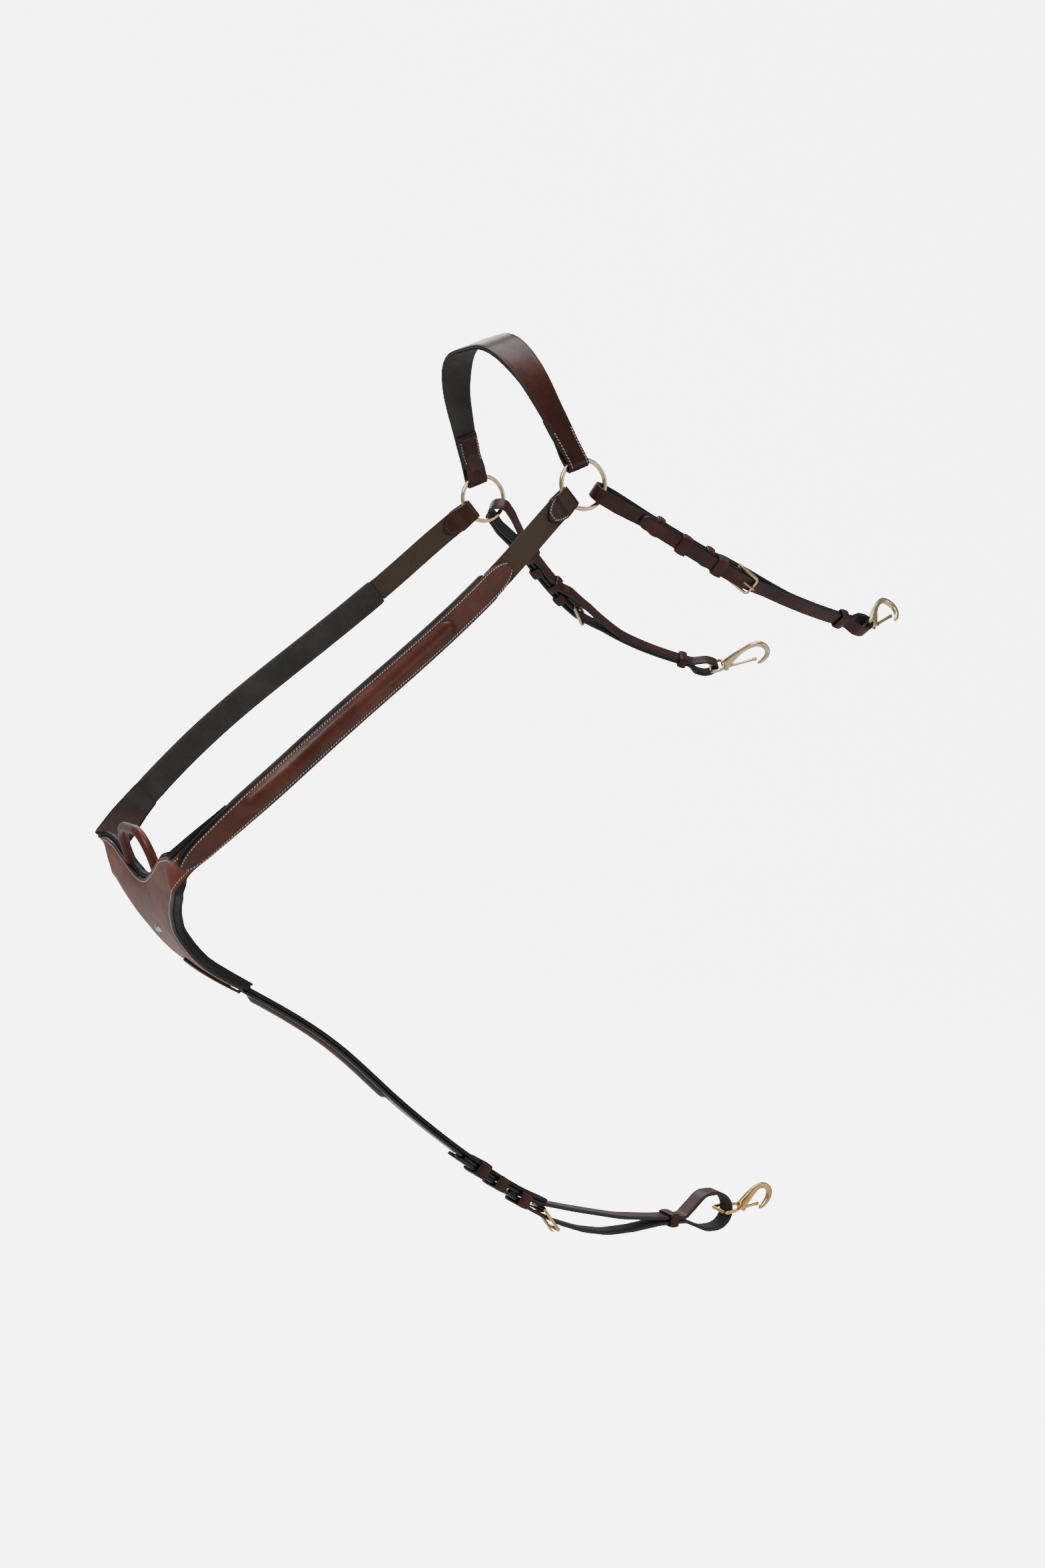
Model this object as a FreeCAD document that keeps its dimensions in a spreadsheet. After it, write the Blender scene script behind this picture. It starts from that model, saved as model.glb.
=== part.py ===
"""Horse martingale: a breastplate with three snap hooks, built strap by strap.

Frame: millimetres, +Z up, +X towards the horse's tail, +Y to the horse's right.
The origin is on the chest plate's inner face, at its centre, where it lies on the horse's chest.
The left side is at -Y.  The two shoulder rings lie in planes parallel to XZ and share one axis along Y.
"""
import FreeCAD, Part
import math
import os

V = FreeCAD.Vector
X_AXIS, Y_AXIS, Z_AXIS = V(1, 0, 0), V(0, 1, 0), V(0, 0, 1)
SIDES = {"left": -1, "right": 1}

doc = FreeCAD.newDocument("martingale")

# ---------------------------------------------------------------- driving sizes
SIZES = {
    "ring_radius": 22.75,        # ring centre to wire centre
    "ring_wire": 2.25,           # wire radius
    "ring_half_span": 110,       # rings' distance from the middle plane
    "ring_back": 367,            # ring axis, behind the chest seat
    "ring_rise": 397,            # ring axis, above the chest seat
    "crown_width": 38,           # wither strap at the top
    "fold_width": 21,            # wither strap where it folds round a ring
    "crown_lean": 22,            # degrees the wither strap leans forward
    "wither_leather": 3.0,
    "wither_pad": 2.2,
    "tab_leather": 2.5,
    "tab_width": 24,
    "elastic_width": 24,
    "shoulder_width": 23,
    "shoulder_lining_width": 27,
    "ridge_height": 4.0,         # raised middle of the shoulder and girth straps
    "ridge_half_width": 8.0,
    "plate_leather": 3.0,
    "plate_lining": 5.0,
    "plate_backing": 3.0,
    "girth_width": 24,
    "girth_lining_width": 27,
    "adjuster_width": 22,
    "adjuster_leather": 3.5,
    "chape_leather": 1.5,
    "chape_width": 20,
    "saddle_width": 14,
    "saddle_leather": 3.2,
    "layer_pitch": 5.4,          # from one run of a saddle strap to the next, under its keepers
    "keeper_leather": 1.8,
    "keeper_length": 10,
    "hole_radius": 1.8,
    "loop_radius": 4.7,          # rolled loop, outside
    "loop_cord": 2.4,            # rolled loop, inner cord
    "snap_eye_bar": 1.9,
    "snap_thickness": 7.0,
    "gate_radius": 1.9,
    "pin_radius": 1.0,
    "running_gap": 0.05,
    "stud_radius": 4.7,
}
sheet = doc.addObject("Spreadsheet::Sheet", "Sizes")
for row, (alias, size) in enumerate(SIZES.items(), 1):
    sheet.set(f"A{row}", alias)
    sheet.set(f"B{row}", str(size))
    sheet.setAlias(f"B{row}", alias)
doc.recompute()


def size(alias):
    return float(sheet.get(alias))


RING_CENTRE = {side: V(size("ring_back"), sign * size("ring_half_span"), size("ring_rise"))
               for side, sign in SIDES.items()}
NODES = []


# ---------------------------------------------------------------- helpers
def keep(label, obj, placement=None):
    """Register a document object as one of the martingale's pieces."""
    obj.Label = label
    if placement is not None:
        obj.Placement = placement
    NODES.append(obj)
    return obj


def shaped(label, shape):
    """A piece whose shape no primitive or sketch fits: soft leather that bends and twists."""
    feature = doc.addObject("Part::Feature", label)
    feature.Shape = shape
    return keep(label, feature)


def placed(origin, x_dir, y_dir):
    """Placement whose X and Y axes are the two given directions (made square)."""
    ex = V(x_dir).normalize()
    ez = ex.cross(y_dir).normalize()
    ey = ez.cross(ex)
    return FreeCAD.Placement(FreeCAD.Matrix(ex.x, ey.x, ez.x, origin.x, ex.y, ey.y, ez.y, origin.y,
                                            ex.z, ey.z, ez.z, origin.z, 0, 0, 0, 1))


def mirrored(point, sign):
    return V(point[0], sign * point[1], point[2])


def smooth_step(value):
    value = min(max(value, 0.0), 1.0)
    return value * value * (3 - 2 * value)


def corner_path(vertices):
    """Corners (x, y, radius) -> ('run', a, b) and ('arc', centre, radius, from, turn) pieces."""
    points = [V(x, y, 0) for x, y, _ in vertices]
    pieces, start = [], points[0]
    for before, corner, after, vertex in zip(points, points[1:], points[2:], vertices[1:]):
        into, out = (corner - before).normalize(), (after - corner).normalize()
        turn = math.atan2(into.x * out.y - into.y * out.x, into.dot(out))
        if abs(turn) < 1e-4 or vertex[2] == 0:
            continue
        reach = vertex[2] * math.tan(abs(turn) / 2)
        arc_start = corner - into * reach
        if (arc_start - start).dot(into) < 0:
            raise ValueError(f"no room for the arc at {vertex}")
        side = V(-into.y, into.x, 0) * math.copysign(vertex[2], turn)
        centre = arc_start + side
        pieces.append(("run", start, arc_start))
        pieces.append(("arc", centre, vertex[2], math.atan2(-side.y, -side.x), turn))
        start = corner + out * reach
    pieces.append(("run", start, points[-1]))
    return pieces


def sampled(vertices, step=22.0, arc_step=18.0):
    """Stations (x, y, tangent angle, distance) along a path of runs and arcs."""
    stations, walked = [], 0.0
    for piece in corner_path(vertices):
        if piece[0] == "run":
            _, a, b = piece
            length = (b - a).Length
            if length < 0.05:
                continue
            angle = math.atan2(b.y - a.y, b.x - a.x)
            count = max(1, round(length / step))
            for i in range(count + 1):
                point = a + (b - a) * (i / count)
                stations.append((point.x, point.y, angle, walked + length * i / count))
            walked += length
        else:
            _, centre, radius, first, turn = piece
            count = max(2, round(math.degrees(abs(turn)) / arc_step))
            for i in range(1, count):
                angle = first + turn * i / count
                tangent = angle + math.copysign(math.pi / 2, turn)
                stations.append((centre.x + radius * math.cos(angle), centre.y + radius * math.sin(angle),
                                 tangent, walked + radius * abs(turn) * i / count))
            walked += radius * abs(turn)
    return stations


def ribbon_edges(vertices, low, high):
    """Closed outline of a band that follows the path, from `low` to `high` left of it."""
    def side(offset):
        edges = []
        for piece in corner_path(vertices):
            if piece[0] == "run":
                _, a, b = piece
                if (b - a).Length < 1e-3:
                    continue
                left = V(-(b - a).y, (b - a).x, 0).normalize() * offset
                edges.append((a + left, b + left))
            else:
                _, centre, radius, first, turn = piece
                r = radius - offset * math.copysign(1, turn)
                at = [centre + V(r * math.cos(first + turn * t), r * math.sin(first + turn * t), 0)
                      for t in (0, 0.5, 1)]
                edges.append(tuple(at))
        return edges

    forward, backward = side(low), [edge[::-1] for edge in reversed(side(high))]
    outline = forward + [(forward[-1][-1], backward[0][0])] + backward + [(backward[-1][-1], forward[0][0])]
    return [Part.LineSegment(*edge) if len(edge) == 2 else Part.Arc(*edge) for edge in outline]


def polygon_edges(points):
    points = [V(x, y, 0) for x, y in points]
    return [Part.LineSegment(a, b) for a, b in zip(points, points[1:] + points[:1])]


def body_plane(body, role):
    return next(plane for plane in body.Origin.OriginFeatures if plane.Role == role)


def sketch_on(body, role, geometry):
    sketch = body.newObject("Sketcher::SketchObject", body.Name + "Sketch")
    sketch.AttachmentSupport = [(body_plane(body, role), "")]
    sketch.MapMode = "FlatFace"
    sketch.addGeometry(geometry)
    return sketch


def pad(body, geometry, length, role="XY_Plane"):
    """Pad evenly to both sides of one of the body's own planes."""
    feature = body.newObject("PartDesign::Pad", body.Name + "Pad")
    feature.Profile = sketch_on(body, role, geometry)
    feature.SideType = "Symmetric"
    if isinstance(length, str):
        feature.setExpression("Length", length)
    else:
        feature.Length = length
    doc.recompute()
    return feature


def pocket(body, geometry, length, role="XY_Plane"):
    """Cut evenly to both sides of one of the body's own planes."""
    before = body.Shape.Volume
    feature = body.newObject("PartDesign::Pocket", body.Name + "Pocket")
    feature.Profile = sketch_on(body, role, geometry)
    feature.SideType = "Symmetric"
    feature.Length = length
    doc.recompute()
    if body.Shape.Volume > before - 0.1:
        raise RuntimeError(body.Label + ": a pocket cuts nothing")
    return feature


def new_body(label):
    return doc.addObject("PartDesign::Body", label)


def loft(sections):
    """Solid through closed many-cornered sections."""
    wires = [Part.makePolygon(list(section) + [section[0]]) for section in sections]
    solid = Part.makeLoft(wires, True, True)
    if solid.Volume < 0:
        solid.reverse()
    return solid


def rounded_end(distance, half_width, reach, least=0.12):
    """Half width near a strap's rounded or pointed tip, `distance` from the tip."""
    if distance >= reach:
        return half_width
    t = max(distance, 0.0) / reach
    return half_width * (least + (1 - least) * math.sqrt(1 - (1 - t) ** 2))


# ---------------------------------------------------------------- rings and wither strap
def make_ring(side):
    ring = doc.addObject("Part::Torus", side + "_ring")
    ring.setExpression("Radius1", "Sizes.ring_radius")
    ring.setExpression("Radius2", "Sizes.ring_wire")
    keep(side + "_ring", ring, placed(RING_CENTRE[side], X_AXIS, Z_AXIS))


def wither_frame():
    """Plane of the wither strap's arch: local X along +Y, local Y up the arch."""
    lean = math.radians(size("crown_lean"))
    up = V(-math.sin(lean), 0, math.cos(lean))
    middle = V(size("ring_back"), 0, size("ring_rise"))
    return placed(middle, Y_AXIS, up)


LEG_LEAN = math.radians(17.5)    # a leg's inward lean where it leaves its ring
WIRE_BOW = 2.8                   # how far the round wire falls back across a strap's width
WIRE_GAP = 0.95                  # play between a ring's wire and the leather folded round it


def wither_path():
    """Right half's fold round the ring, the arch, and the left half's fold."""
    fold = size("ring_wire") + WIRE_GAP + size("wither_leather") / 2
    inner = fold - size("wither_leather") - size("wither_pad")
    wire = V(size("ring_half_span"), size("ring_radius"), 0)
    along = V(-math.sin(LEG_LEAN), math.cos(LEG_LEAN), 0)
    across = V(math.cos(LEG_LEAN), math.sin(LEG_LEAN), 0)

    def at(run, out):
        point = wire + along * run + across * out
        return point.x, point.y
    half = [(*at(46, inner), 0), (*at(24, inner), 8), (*at(10, -fold), 8),
            (*at(-fold - WIRE_BOW, -fold), fold - 0.01), (*at(-fold - WIRE_BOW, fold), fold - 0.01),
            (*at(36, fold), 60), (86, 110, 80), (50, 150, 66)]
    return half + [(-x, y, r) for x, y, r in reversed(half)]


def taper_outline():
    """Wither strap seen from the side: narrow at the rings, wide at the crown."""
    narrow, wide = size("fold_width") / 2, size("crown_width") / 2
    half = [(narrow, 0), (narrow, 40), (narrow + 2, 78), (narrow + 4, 105), (wide - 2, 130),
            (wide - 0.5, 150), (wide, 170)]
    return polygon_edges(half + [(-w, y) for w, y in reversed(half)])


def tapered(label, body):
    """Common of an arch and its side outline."""
    outline = new_body(label + "_outline")
    pad(outline, taper_outline(), 320)
    # The outline's own plane looks along the arch's X axis.
    outline.Placement = wither_frame().multiply(FreeCAD.Placement(V(0, 0, 0), FreeCAD.Rotation(Y_AXIS, -90)))
    body.Placement = wither_frame()
    common = doc.addObject("Part::Common", label)
    common.Base, common.Tool = body, outline
    doc.recompute()
    return keep(label, common)


def make_wither_strap():
    half_leather = size("wither_leather") / 2
    path = wither_path()
    leather = new_body("wither_leather_arch")
    pad(leather, ribbon_edges(path, -half_leather, half_leather), "Sizes.crown_width")
    tapered("wither_strap", leather)
    # The lining lies inside the arch, between the two turned-back ends.
    middle = path[5:-5]
    foot = V(*path[4][:2], 0)
    knee = V(*path[5][:2], 0)
    first = foot + (knee - foot) * 0.42
    last = V(-first.x, first.y, 0)
    lining = new_body("wither_lining_arch")
    lining_path = [(first.x, first.y, 0)] + middle + [(last.x, last.y, 0)]
    far_face = half_leather + size("wither_pad")
    pad(lining, ribbon_edges(lining_path, half_leather, far_face), "Sizes.crown_width")
    tapered("wither_lining", lining)


# ---------------------------------------------------------------- shoulder straps
STRAP_SLOPE = V(-0.757, 0, -0.653)      # from a ring down towards the chest, in the side view
STRAP_EDGE = V(-0.653, 0, 0.757)        # across a shoulder strap, towards its upper edge
SHOULDER_ROUTE = [(349.8, 110, 382.1), (331, 116.5, 366), (278, 132, 318), (171, 150, 231),
                  (102, 154, 177), (51, 150, 133), (6, 135, 91), (-24, 117, 59)]
TAB_END, ELASTIC_START, LEATHER_START, ELASTIC_END = 32, 12, 96, 122
RIDGE_START, RIDGE_END, ARM_START, STRAP_END = 176, 432, 438, 503


class Route:
    """A smooth line in space with a strap's across and outward directions along it."""

    def __init__(self, points, across, outward, twist=0.0, twist_from=0.0):
        self.curve = Part.BSplineCurve()
        self.curve.interpolate([V(*point) for point in points])
        self.length = self.curve.length()
        self.across, self.outward = across, outward
        self.twist, self.twist_from = twist, twist_from

    def frame(self, distance):
        """Point, tangent, across and outward directions at a distance along the line."""
        t = self.curve.parameterAtDistance(min(max(distance, 0), self.length - 1e-3),
                                           self.curve.FirstParameter)
        point = self.curve.value(t)
        tangent = V(*self.curve.tangent(t)[0]).normalize()
        across = (self.across - tangent * self.across.dot(tangent)).normalize()
        turn = self.twist * smooth_step((distance - self.twist_from) / (self.length - self.twist_from))
        if turn:
            across = FreeCAD.Rotation(tangent, turn).multVec(across)
        normal = tangent.cross(across).normalize()
        if normal.dot(self.outward) < 0:
            normal = normal * -1
        return point, tangent, across, normal

    def band(self, start, stop, half_width, low, high, step=14.0):
        """Flat strap between two distances; widths and levels may be functions of distance."""
        count = max(2, round((stop - start) / step))
        distances = sorted({start + (stop - start) * i / count for i in range(count + 1)}
                           | {d for d in (start + 1.5, start + 4, start + 8, stop - 8, stop - 4, stop - 1.5)})
        sections = []
        for d in distances:
            point, _, across, normal = self.frame(d)
            w, a, b = (value(d) if callable(value) else value for value in (half_width, low, high))
            sections.append([point + across * u + normal * v for u, v in ((-w, a), (w, a), (w, b), (-w, b))])
        return loft(sections)

    def ridged(self, start, stop, half_width, low, high, bump, step=14.0):
        """Strap whose middle is raised over a core: bump(distance) is the raise."""
        count = max(2, round((stop - start) / step))
        distances = sorted({start + (stop - start) * i / count for i in range(count + 1)}
                           | {start + 2, start + 6, stop - 6, stop - 2})
        sections = []
        for d in distances:
            point, _, across, normal = self.frame(d)
            w, up = half_width(d), bump(d)
            o = min(size("ridge_half_width") + RIDGE_WALL, w * 0.85)
            r = min(size("ridge_half_width"), w * 0.72)
            under = [(-w, low)] + ridge_line(r, low, up) + [(w, low)]
            over = [(-w, high)] + ridge_line(o, high, up) + [(w, high)]
            sections.append([point + across * u + normal * v for u, v in under + over[::-1]])
        return loft(sections)

    def core(self, start, stop, low, bump, step=14.0):
        """Cord that fills a ridge, between the lining and the raised leather."""
        count = max(2, round((stop - start) / step))
        sections = []
        for i in range(count + 1):
            d = start + (stop - start) * i / count
            point, _, across, normal = self.frame(d)
            line = ridge_line(size("ridge_half_width") - 0.6, low, bump(d) * 0.9)
            sections.append([point + across * u + normal * v for u, v in line])
        return loft(sections)


RIDGE_WALL = 1.5                 # a ridge is this much wider outside than inside, each side


def ridge_line(half_width, level, rise):
    """Round-topped section of a ridge, from one foot to the other."""
    right = [(0.2, 1.0), (0.5, 0.84), (0.78, 0.48), (1.0, 0.0)]
    return [(-u * half_width, level + v * rise) for u, v in right[::-1]] + [
        (u * half_width, level + v * rise) for u, v in right]


def ridge_bump(start, stop):
    """Raise of a ridge that starts and ends with short slopes."""
    ease = 9.0

    def bump(d):
        return size("ridge_height") * smooth_step((d - start) / ease) * smooth_step((stop - d) / ease)
    return bump


def shoulder_route(side):
    sign = SIDES[side]
    twist = 26 * sign
    return Route([mirrored(p, sign) for p in SHOULDER_ROUTE], STRAP_EDGE, V(0, sign, 0), twist, 400)


def make_tab(side):
    """Pointed leather tab folded round the ring, its two faces sewn to the elastic."""
    sign = SIDES[side]
    route = shoulder_route(side)
    wire, tangent, across, normal = route.frame(0)
    tangent = (STRAP_SLOPE + V(0, sign * 0.28, 0)).normalize()
    fold = size("ring_wire") + WIRE_GAP + size("tab_leather") / 2
    leg = 1.0 + size("tab_leather") / 2
    half = [(TAB_END, leg, 0), (16, leg, 8), (9, fold, 8), (-fold - WIRE_BOW, fold, fold - 0.01)]
    path = half + [(x, -y, r) for x, y, r in reversed(half)]
    folded = new_body(side + "_tab_fold")
    pad(folded, ribbon_edges(path, -size("tab_leather") / 2, size("tab_leather") / 2), "Sizes.tab_width")
    folded.Placement = placed(wire, tangent, V(0, sign, 0))
    half_width = size("tab_width") / 2
    drop = [(-8, half_width - 2), (6, half_width - 1), (14, half_width), (22, half_width - 2.5),
            (28, half_width - 6.5), (TAB_END, 1.2)]
    outline = new_body(side + "_tab_outline")
    pad(outline, polygon_edges(drop + [(x, -y) for x, y in reversed(drop)]), 40)
    outline.Placement = placed(wire, tangent, tangent.cross(V(0, sign, 0)))
    common = doc.addObject("Part::Common", side + "_tab")
    common.Base, common.Tool = folded, outline
    doc.recompute()
    keep(side + "_tab", common)


def make_shoulder(side):
    route = shoulder_route(side)
    half_width, lining_half = size("shoulder_width") / 2, size("shoulder_lining_width") / 2
    shaped(side + "_elastic", route.band(ELASTIC_START, ELASTIC_END, size("elastic_width") / 2, -0.9, 0.9))
    bump = ridge_bump(RIDGE_START, RIDGE_END)

    def leather_half(d):
        return min(rounded_end(d - LEATHER_START, half_width, 26), rounded_end(STRAP_END - d, half_width, 30))
    shaped(side + "_shoulder_strap",
           route.ridged(LEATHER_START, STRAP_END, leather_half, 1.0, 4.0, bump))
    shaped(side + "_shoulder_core", route.core(RIDGE_START + 5, RIDGE_END - 5, 1.0, bump))

    def lining_low(d):
        return 1.0 - 5.5 + 3.5 * smooth_step((d - ARM_START + 12) / 24)

    def lining_half_width(d):
        return rounded_end(STRAP_END + 2 - d, lining_half, 32)
    shaped(side + "_shoulder_lining",
           route.band(ELASTIC_END + 1, STRAP_END + 2, lining_half_width, lining_low, 0.95))


# ---------------------------------------------------------------- chest plate
# Outer face of the plate seen from the side, from the arms' upper edge down to the tail (x, z).
PLATE_PROFILE = [(-33, 74), (-31, 61), (-28.5, 49), (-26, 38), (-24, 28), (-19.5, 14), (-12, -2), (-2, -17),
                 (12, -33), (36, -52), (66, -70)]
# Upper and lower edge height of the plate at each distance from the middle plane.
PLATE_EDGES = [(0, 38, -69), (14, 39.2, -69), (20, 41, -51), (33, 45.2, -34), (44, 49.4, -12), (60, 56.5, 4),
               (75, 63, 17), (90, 66, 28), (103, 67.5, 37)]
PLATE_ROWS = 8


def profile_at(height):
    """Point and outward normal of the plate's outer face at a height."""
    curve = Part.BSplineCurve()
    curve.interpolate([V(x, 0, z) for x, z in PLATE_PROFILE])
    low, high = curve.FirstParameter, curve.LastParameter
    for _ in range(40):
        middle = (low + high) / 2
        if curve.value(middle).z > height:
            low = middle
        else:
            high = middle
    tangent = V(*curve.tangent(low)[0]).normalize()
    return curve.value(low), V(tangent.z, 0, -tangent.x)


# Distance along a shoulder strap's route -> share of the plate's full thickness there.
ARM_THICKNESS = {ARM_START: 0.3, 456: 0.4, 474: 0.52, 490: 0.64, 503: 0.76}


def plate_stations(side, grow):
    """Rows of (point, outward normal, thickness share), from the arm's end to the middle."""
    sign = SIDES[side]
    route = shoulder_route(side)
    stations = []
    for d, share in ARM_THICKNESS.items():
        point, _, across, normal = route.frame(d)
        spread = size("shoulder_width") / 2 + 1 + grow
        stations.append([(point + across * spread * (1 - 2 * i / PLATE_ROWS) - normal * 1.05, normal, share)
                         for i in range(PLATE_ROWS + 1)])
    for y, top, bottom in reversed(PLATE_EDGES):
        heights = [top + grow + (bottom - grow * 0.6 - top - grow) * i / PLATE_ROWS
                   for i in range(PLATE_ROWS + 1)]
        row = []
        for z in heights:
            point, normal = profile_at(max(z, -69.8))
            row.append((V(point.x, sign * y, point.z), normal, min(1.0, 1 - (y - 90) * 0.01)))
        stations.append(row)
    return stations


def make_plate_layer(label, outer, inner, grow, skipped=0):
    """One layer of the plate; `skipped` stations shorten its arms."""
    left, right = plate_stations("left", grow)[skipped:], plate_stations("right", grow)[skipped:]
    sections = []
    for row in left + right[-2::-1]:
        front = [point - normal * outer * share for point, normal, share in row]
        back = [point - normal * inner * share for point, normal, share in row]
        sections.append(front + back[::-1])
    shaped(label, loft(sections))


def make_chest_plate():
    """The plate's dark outer leather, its padded lining and its backing."""
    leather, lining, backing = size("plate_leather"), size("plate_lining"), size("plate_backing")
    make_plate_layer("chest_plate", 0, leather, 0)
    make_plate_layer("chest_lining", leather, leather + lining, 2.5)
    make_plate_layer("chest_backing", leather + lining, leather + lining + backing, 1.5, 1)


def make_rolled_loop():
    """Leather-covered cord loop that stands up out of the neck notch."""
    foot, lean = V(-15.5, 0, 30), V(-0.345, 0, 0.939)
    half = [(38, 14, 0), (43, 34, 30), (30, 57.5, 24)]
    path = half + [(-x, y, r) for x, y, r in reversed(half)]
    frame = placed(foot, Y_AXIS, lean)
    edges = []
    for piece in corner_path(path):
        if piece[0] == "run":
            edges.append(Part.LineSegment(piece[1], piece[2]).toShape())
        else:
            _, centre, radius, first, turn = piece
            at = [centre + V(radius * math.cos(first + turn * t), radius * math.sin(first + turn * t), 0)
                  for t in (0, 0.5, 1)]
            edges.append(Part.Arc(*at).toShape())
    spine = Part.Wire(edges)

    def tube(radius):
        start = Part.Wire(Part.makeCircle(radius, V(38, 14, 0), V(5, 20, 0)))
        return spine.makePipeShell([start], True, False)
    cord, cover = tube(size("loop_cord")), tube(size("loop_radius"))
    for label, shape in (("rolled_loop_core", cord), ("rolled_loop_cover", cover.cut(cord))):
        feature = doc.addObject("Part::Feature", label)
        feature.Shape = shape
        keep(label, feature, frame)


def make_stud():
    """Domed stud through the plate's leather: head, shank and a small inner washer, turned in one."""
    point, normal = profile_at(-7)
    radius, depth = size("stud_radius"), -size("plate_leather")
    shank, washer, seat, rise = 1.1, 2.6, 0.02, 2.7
    dome = (radius ** 2 + rise ** 2) / (2 * rise)
    middle = math.radians(90) - math.asin(radius / dome) / 2
    apex = seat + rise
    arc = Part.Arc(V(radius, seat, 0), V(dome * math.cos(middle), apex - dome + dome * math.sin(middle), 0),
                   V(0, apex, 0))
    corners = [V(0, apex, 0), V(0, depth - 0.8, 0), V(washer, depth - 0.8, 0), V(washer, depth, 0),
               V(shank, depth, 0), V(shank, seat, 0), V(radius, seat, 0)]
    profile = [Part.LineSegment(a, b) for a, b in zip(corners, corners[1:])] + [arc]
    stud = new_body("stud")
    turned = stud.newObject("PartDesign::Revolution", "StudTurned")
    sketch = sketch_on(stud, "XY_Plane", profile)
    turned.Profile = sketch
    turned.ReferenceAxis = (sketch, ["V_Axis"])
    turned.Angle = 360
    doc.recompute()
    keep("stud", stud, placed(point, Y_AXIS, normal))


# ---------------------------------------------------------------- girth strap
# Inner face of the girth strap in the middle plane, from the plate's tail to the buckle.
GIRTH_ROUTE = [(70, 0, -65), (103, 0, -85), (162, 0, -127), (217, 0, -179), (262, 0, -219), (322, 0, -266),
               (375, 0, -299.2), (392, 0, -307.5)]
GIRTH_INWARD = V(0.6, 0, 0.8)
GIRTH_LINING = 4.5
GIRTH_LEATHER_END, GIRTH_LINING_END, GIRTH_RIDGE_END = 287, 393, 190
HINGE_GAP = 0.6


def girth_route():
    return Route(GIRTH_ROUTE, Y_AXIS, GIRTH_INWARD)


def girth_point(distance, depth):
    """Point in the middle plane, `depth` outside the strap's inner face."""
    point, _, _, normal = girth_route().frame(distance)
    at = point - normal * depth
    return at.x, at.z


def make_girth_head():
    """Pointed end of the girth strap's leather, sewn on the plate's tail."""
    half_width = size("girth_width") / 2
    sections = []
    for z in (-36, -37.5, -40, -45, -52, -60, -69):
        point, normal = profile_at(z)
        w = rounded_end((-36 - z) * 1.35, half_width, 30)
        a, b = point + normal * 0.05, point + normal * 3.0
        sections.append([a - Y_AXIS * w, a + Y_AXIS * w, b + Y_AXIS * w, b - Y_AXIS * w])
    shaped("girth_head", loft(sections))


def make_girth_strap():
    route = girth_route()
    half_width = size("girth_width") / 2
    bump = ridge_bump(HINGE_GAP + 4, GIRTH_RIDGE_END)
    low, high = -GIRTH_LINING, -GIRTH_LINING - 3.0

    def leather_half(d):
        return rounded_end(GIRTH_LEATHER_END - d, half_width, 6, 0.7)

    def bump_out(d):
        return -bump(d)
    shaped("girth_strap", route.ridged(HINGE_GAP, GIRTH_LEATHER_END, leather_half, low, high, bump_out))
    shaped("girth_core", girth_core(route, bump, low))
    lining_half = size("girth_lining_width") / 2
    shaped("girth_lining", route.band(HINGE_GAP, GIRTH_LINING_END, lining_half, -GIRTH_LINING + 0.05, 0))


def girth_core(route, bump, low):
    start, stop = HINGE_GAP + 8, GIRTH_RIDGE_END - 5
    sections = []
    for i in range(14):
        d = start + (stop - start) * i / 13
        point, _, across, normal = route.frame(d)
        line = ridge_line(size("ridge_half_width") - 0.6, low, -bump(d) * 0.9)
        sections.append([point + across * u + normal * v for u, v in line])
    return loft(sections)


BUCKLE_BAR = 1.6
GIRTH_REAR_BAR = V(376.6, 0, -312.4)
GIRTH_FRONT_BAR = V(392.6, 0, -335.1)
GIRTH_EYE = V(587, 0, -340.7)
GIRTH_TIP = 278
GIRTH_HOLES = (299, 326, 351)
# Each keeper's place along the girth strap, and the depths it reaches from and to.
GIRTH_KEEPERS = ((312, 0, 13.4), (337, 2.4, 14.0), (368, 4.6, 17.2))
ADJUSTER_BIGHT = (576.5, -338.5, 18.7)
GIRTH_FRAME = placed(V(0, 0, 0), X_AXIS, Z_AXIS)     # local X = X, local Y = Z, local Z = -Y


def adjuster_path():
    """Girth adjuster: sewn under the lining, out round the snap's eye, back through the buckle to the tip."""
    depth = GIRTH_LINING + 0.1 + size("adjuster_leather") / 2
    billet = depth + size("adjuster_leather") + 0.6
    x, z, r = ADJUSTER_BIGHT
    sewn = [(*girth_point(d, depth), 60) for d in (304, 319, 334, 349, 364, 379)]
    return [(*girth_point(GIRTH_LEATHER_END + 2, depth), 0)] + sewn + [
        (*girth_point(391, depth), 40), (414, -318.2, 120), (465, -331.6, 120), (505, -337.4, 80),
        (541, -340.8, 8), (565, z + r, 15), (x + r, z + r, r - 0.05), (x + r, z - r, r - 0.05),
        (566, z - r, 24), (541, -344.9, 12), (510, -343.9, 40), (480, -346.4, 60), (450, -346.2, 60), (422, -339.8, 60),
        (396, -329.6, 40), (*girth_point(389, billet + 6.4), 40), (*girth_point(372, billet + 4.2), 40),
        (*girth_point(352, billet + 1.8), 40), (*girth_point(332, billet), 40),
        (*girth_point(GIRTH_TIP, billet), 0)]


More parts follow.
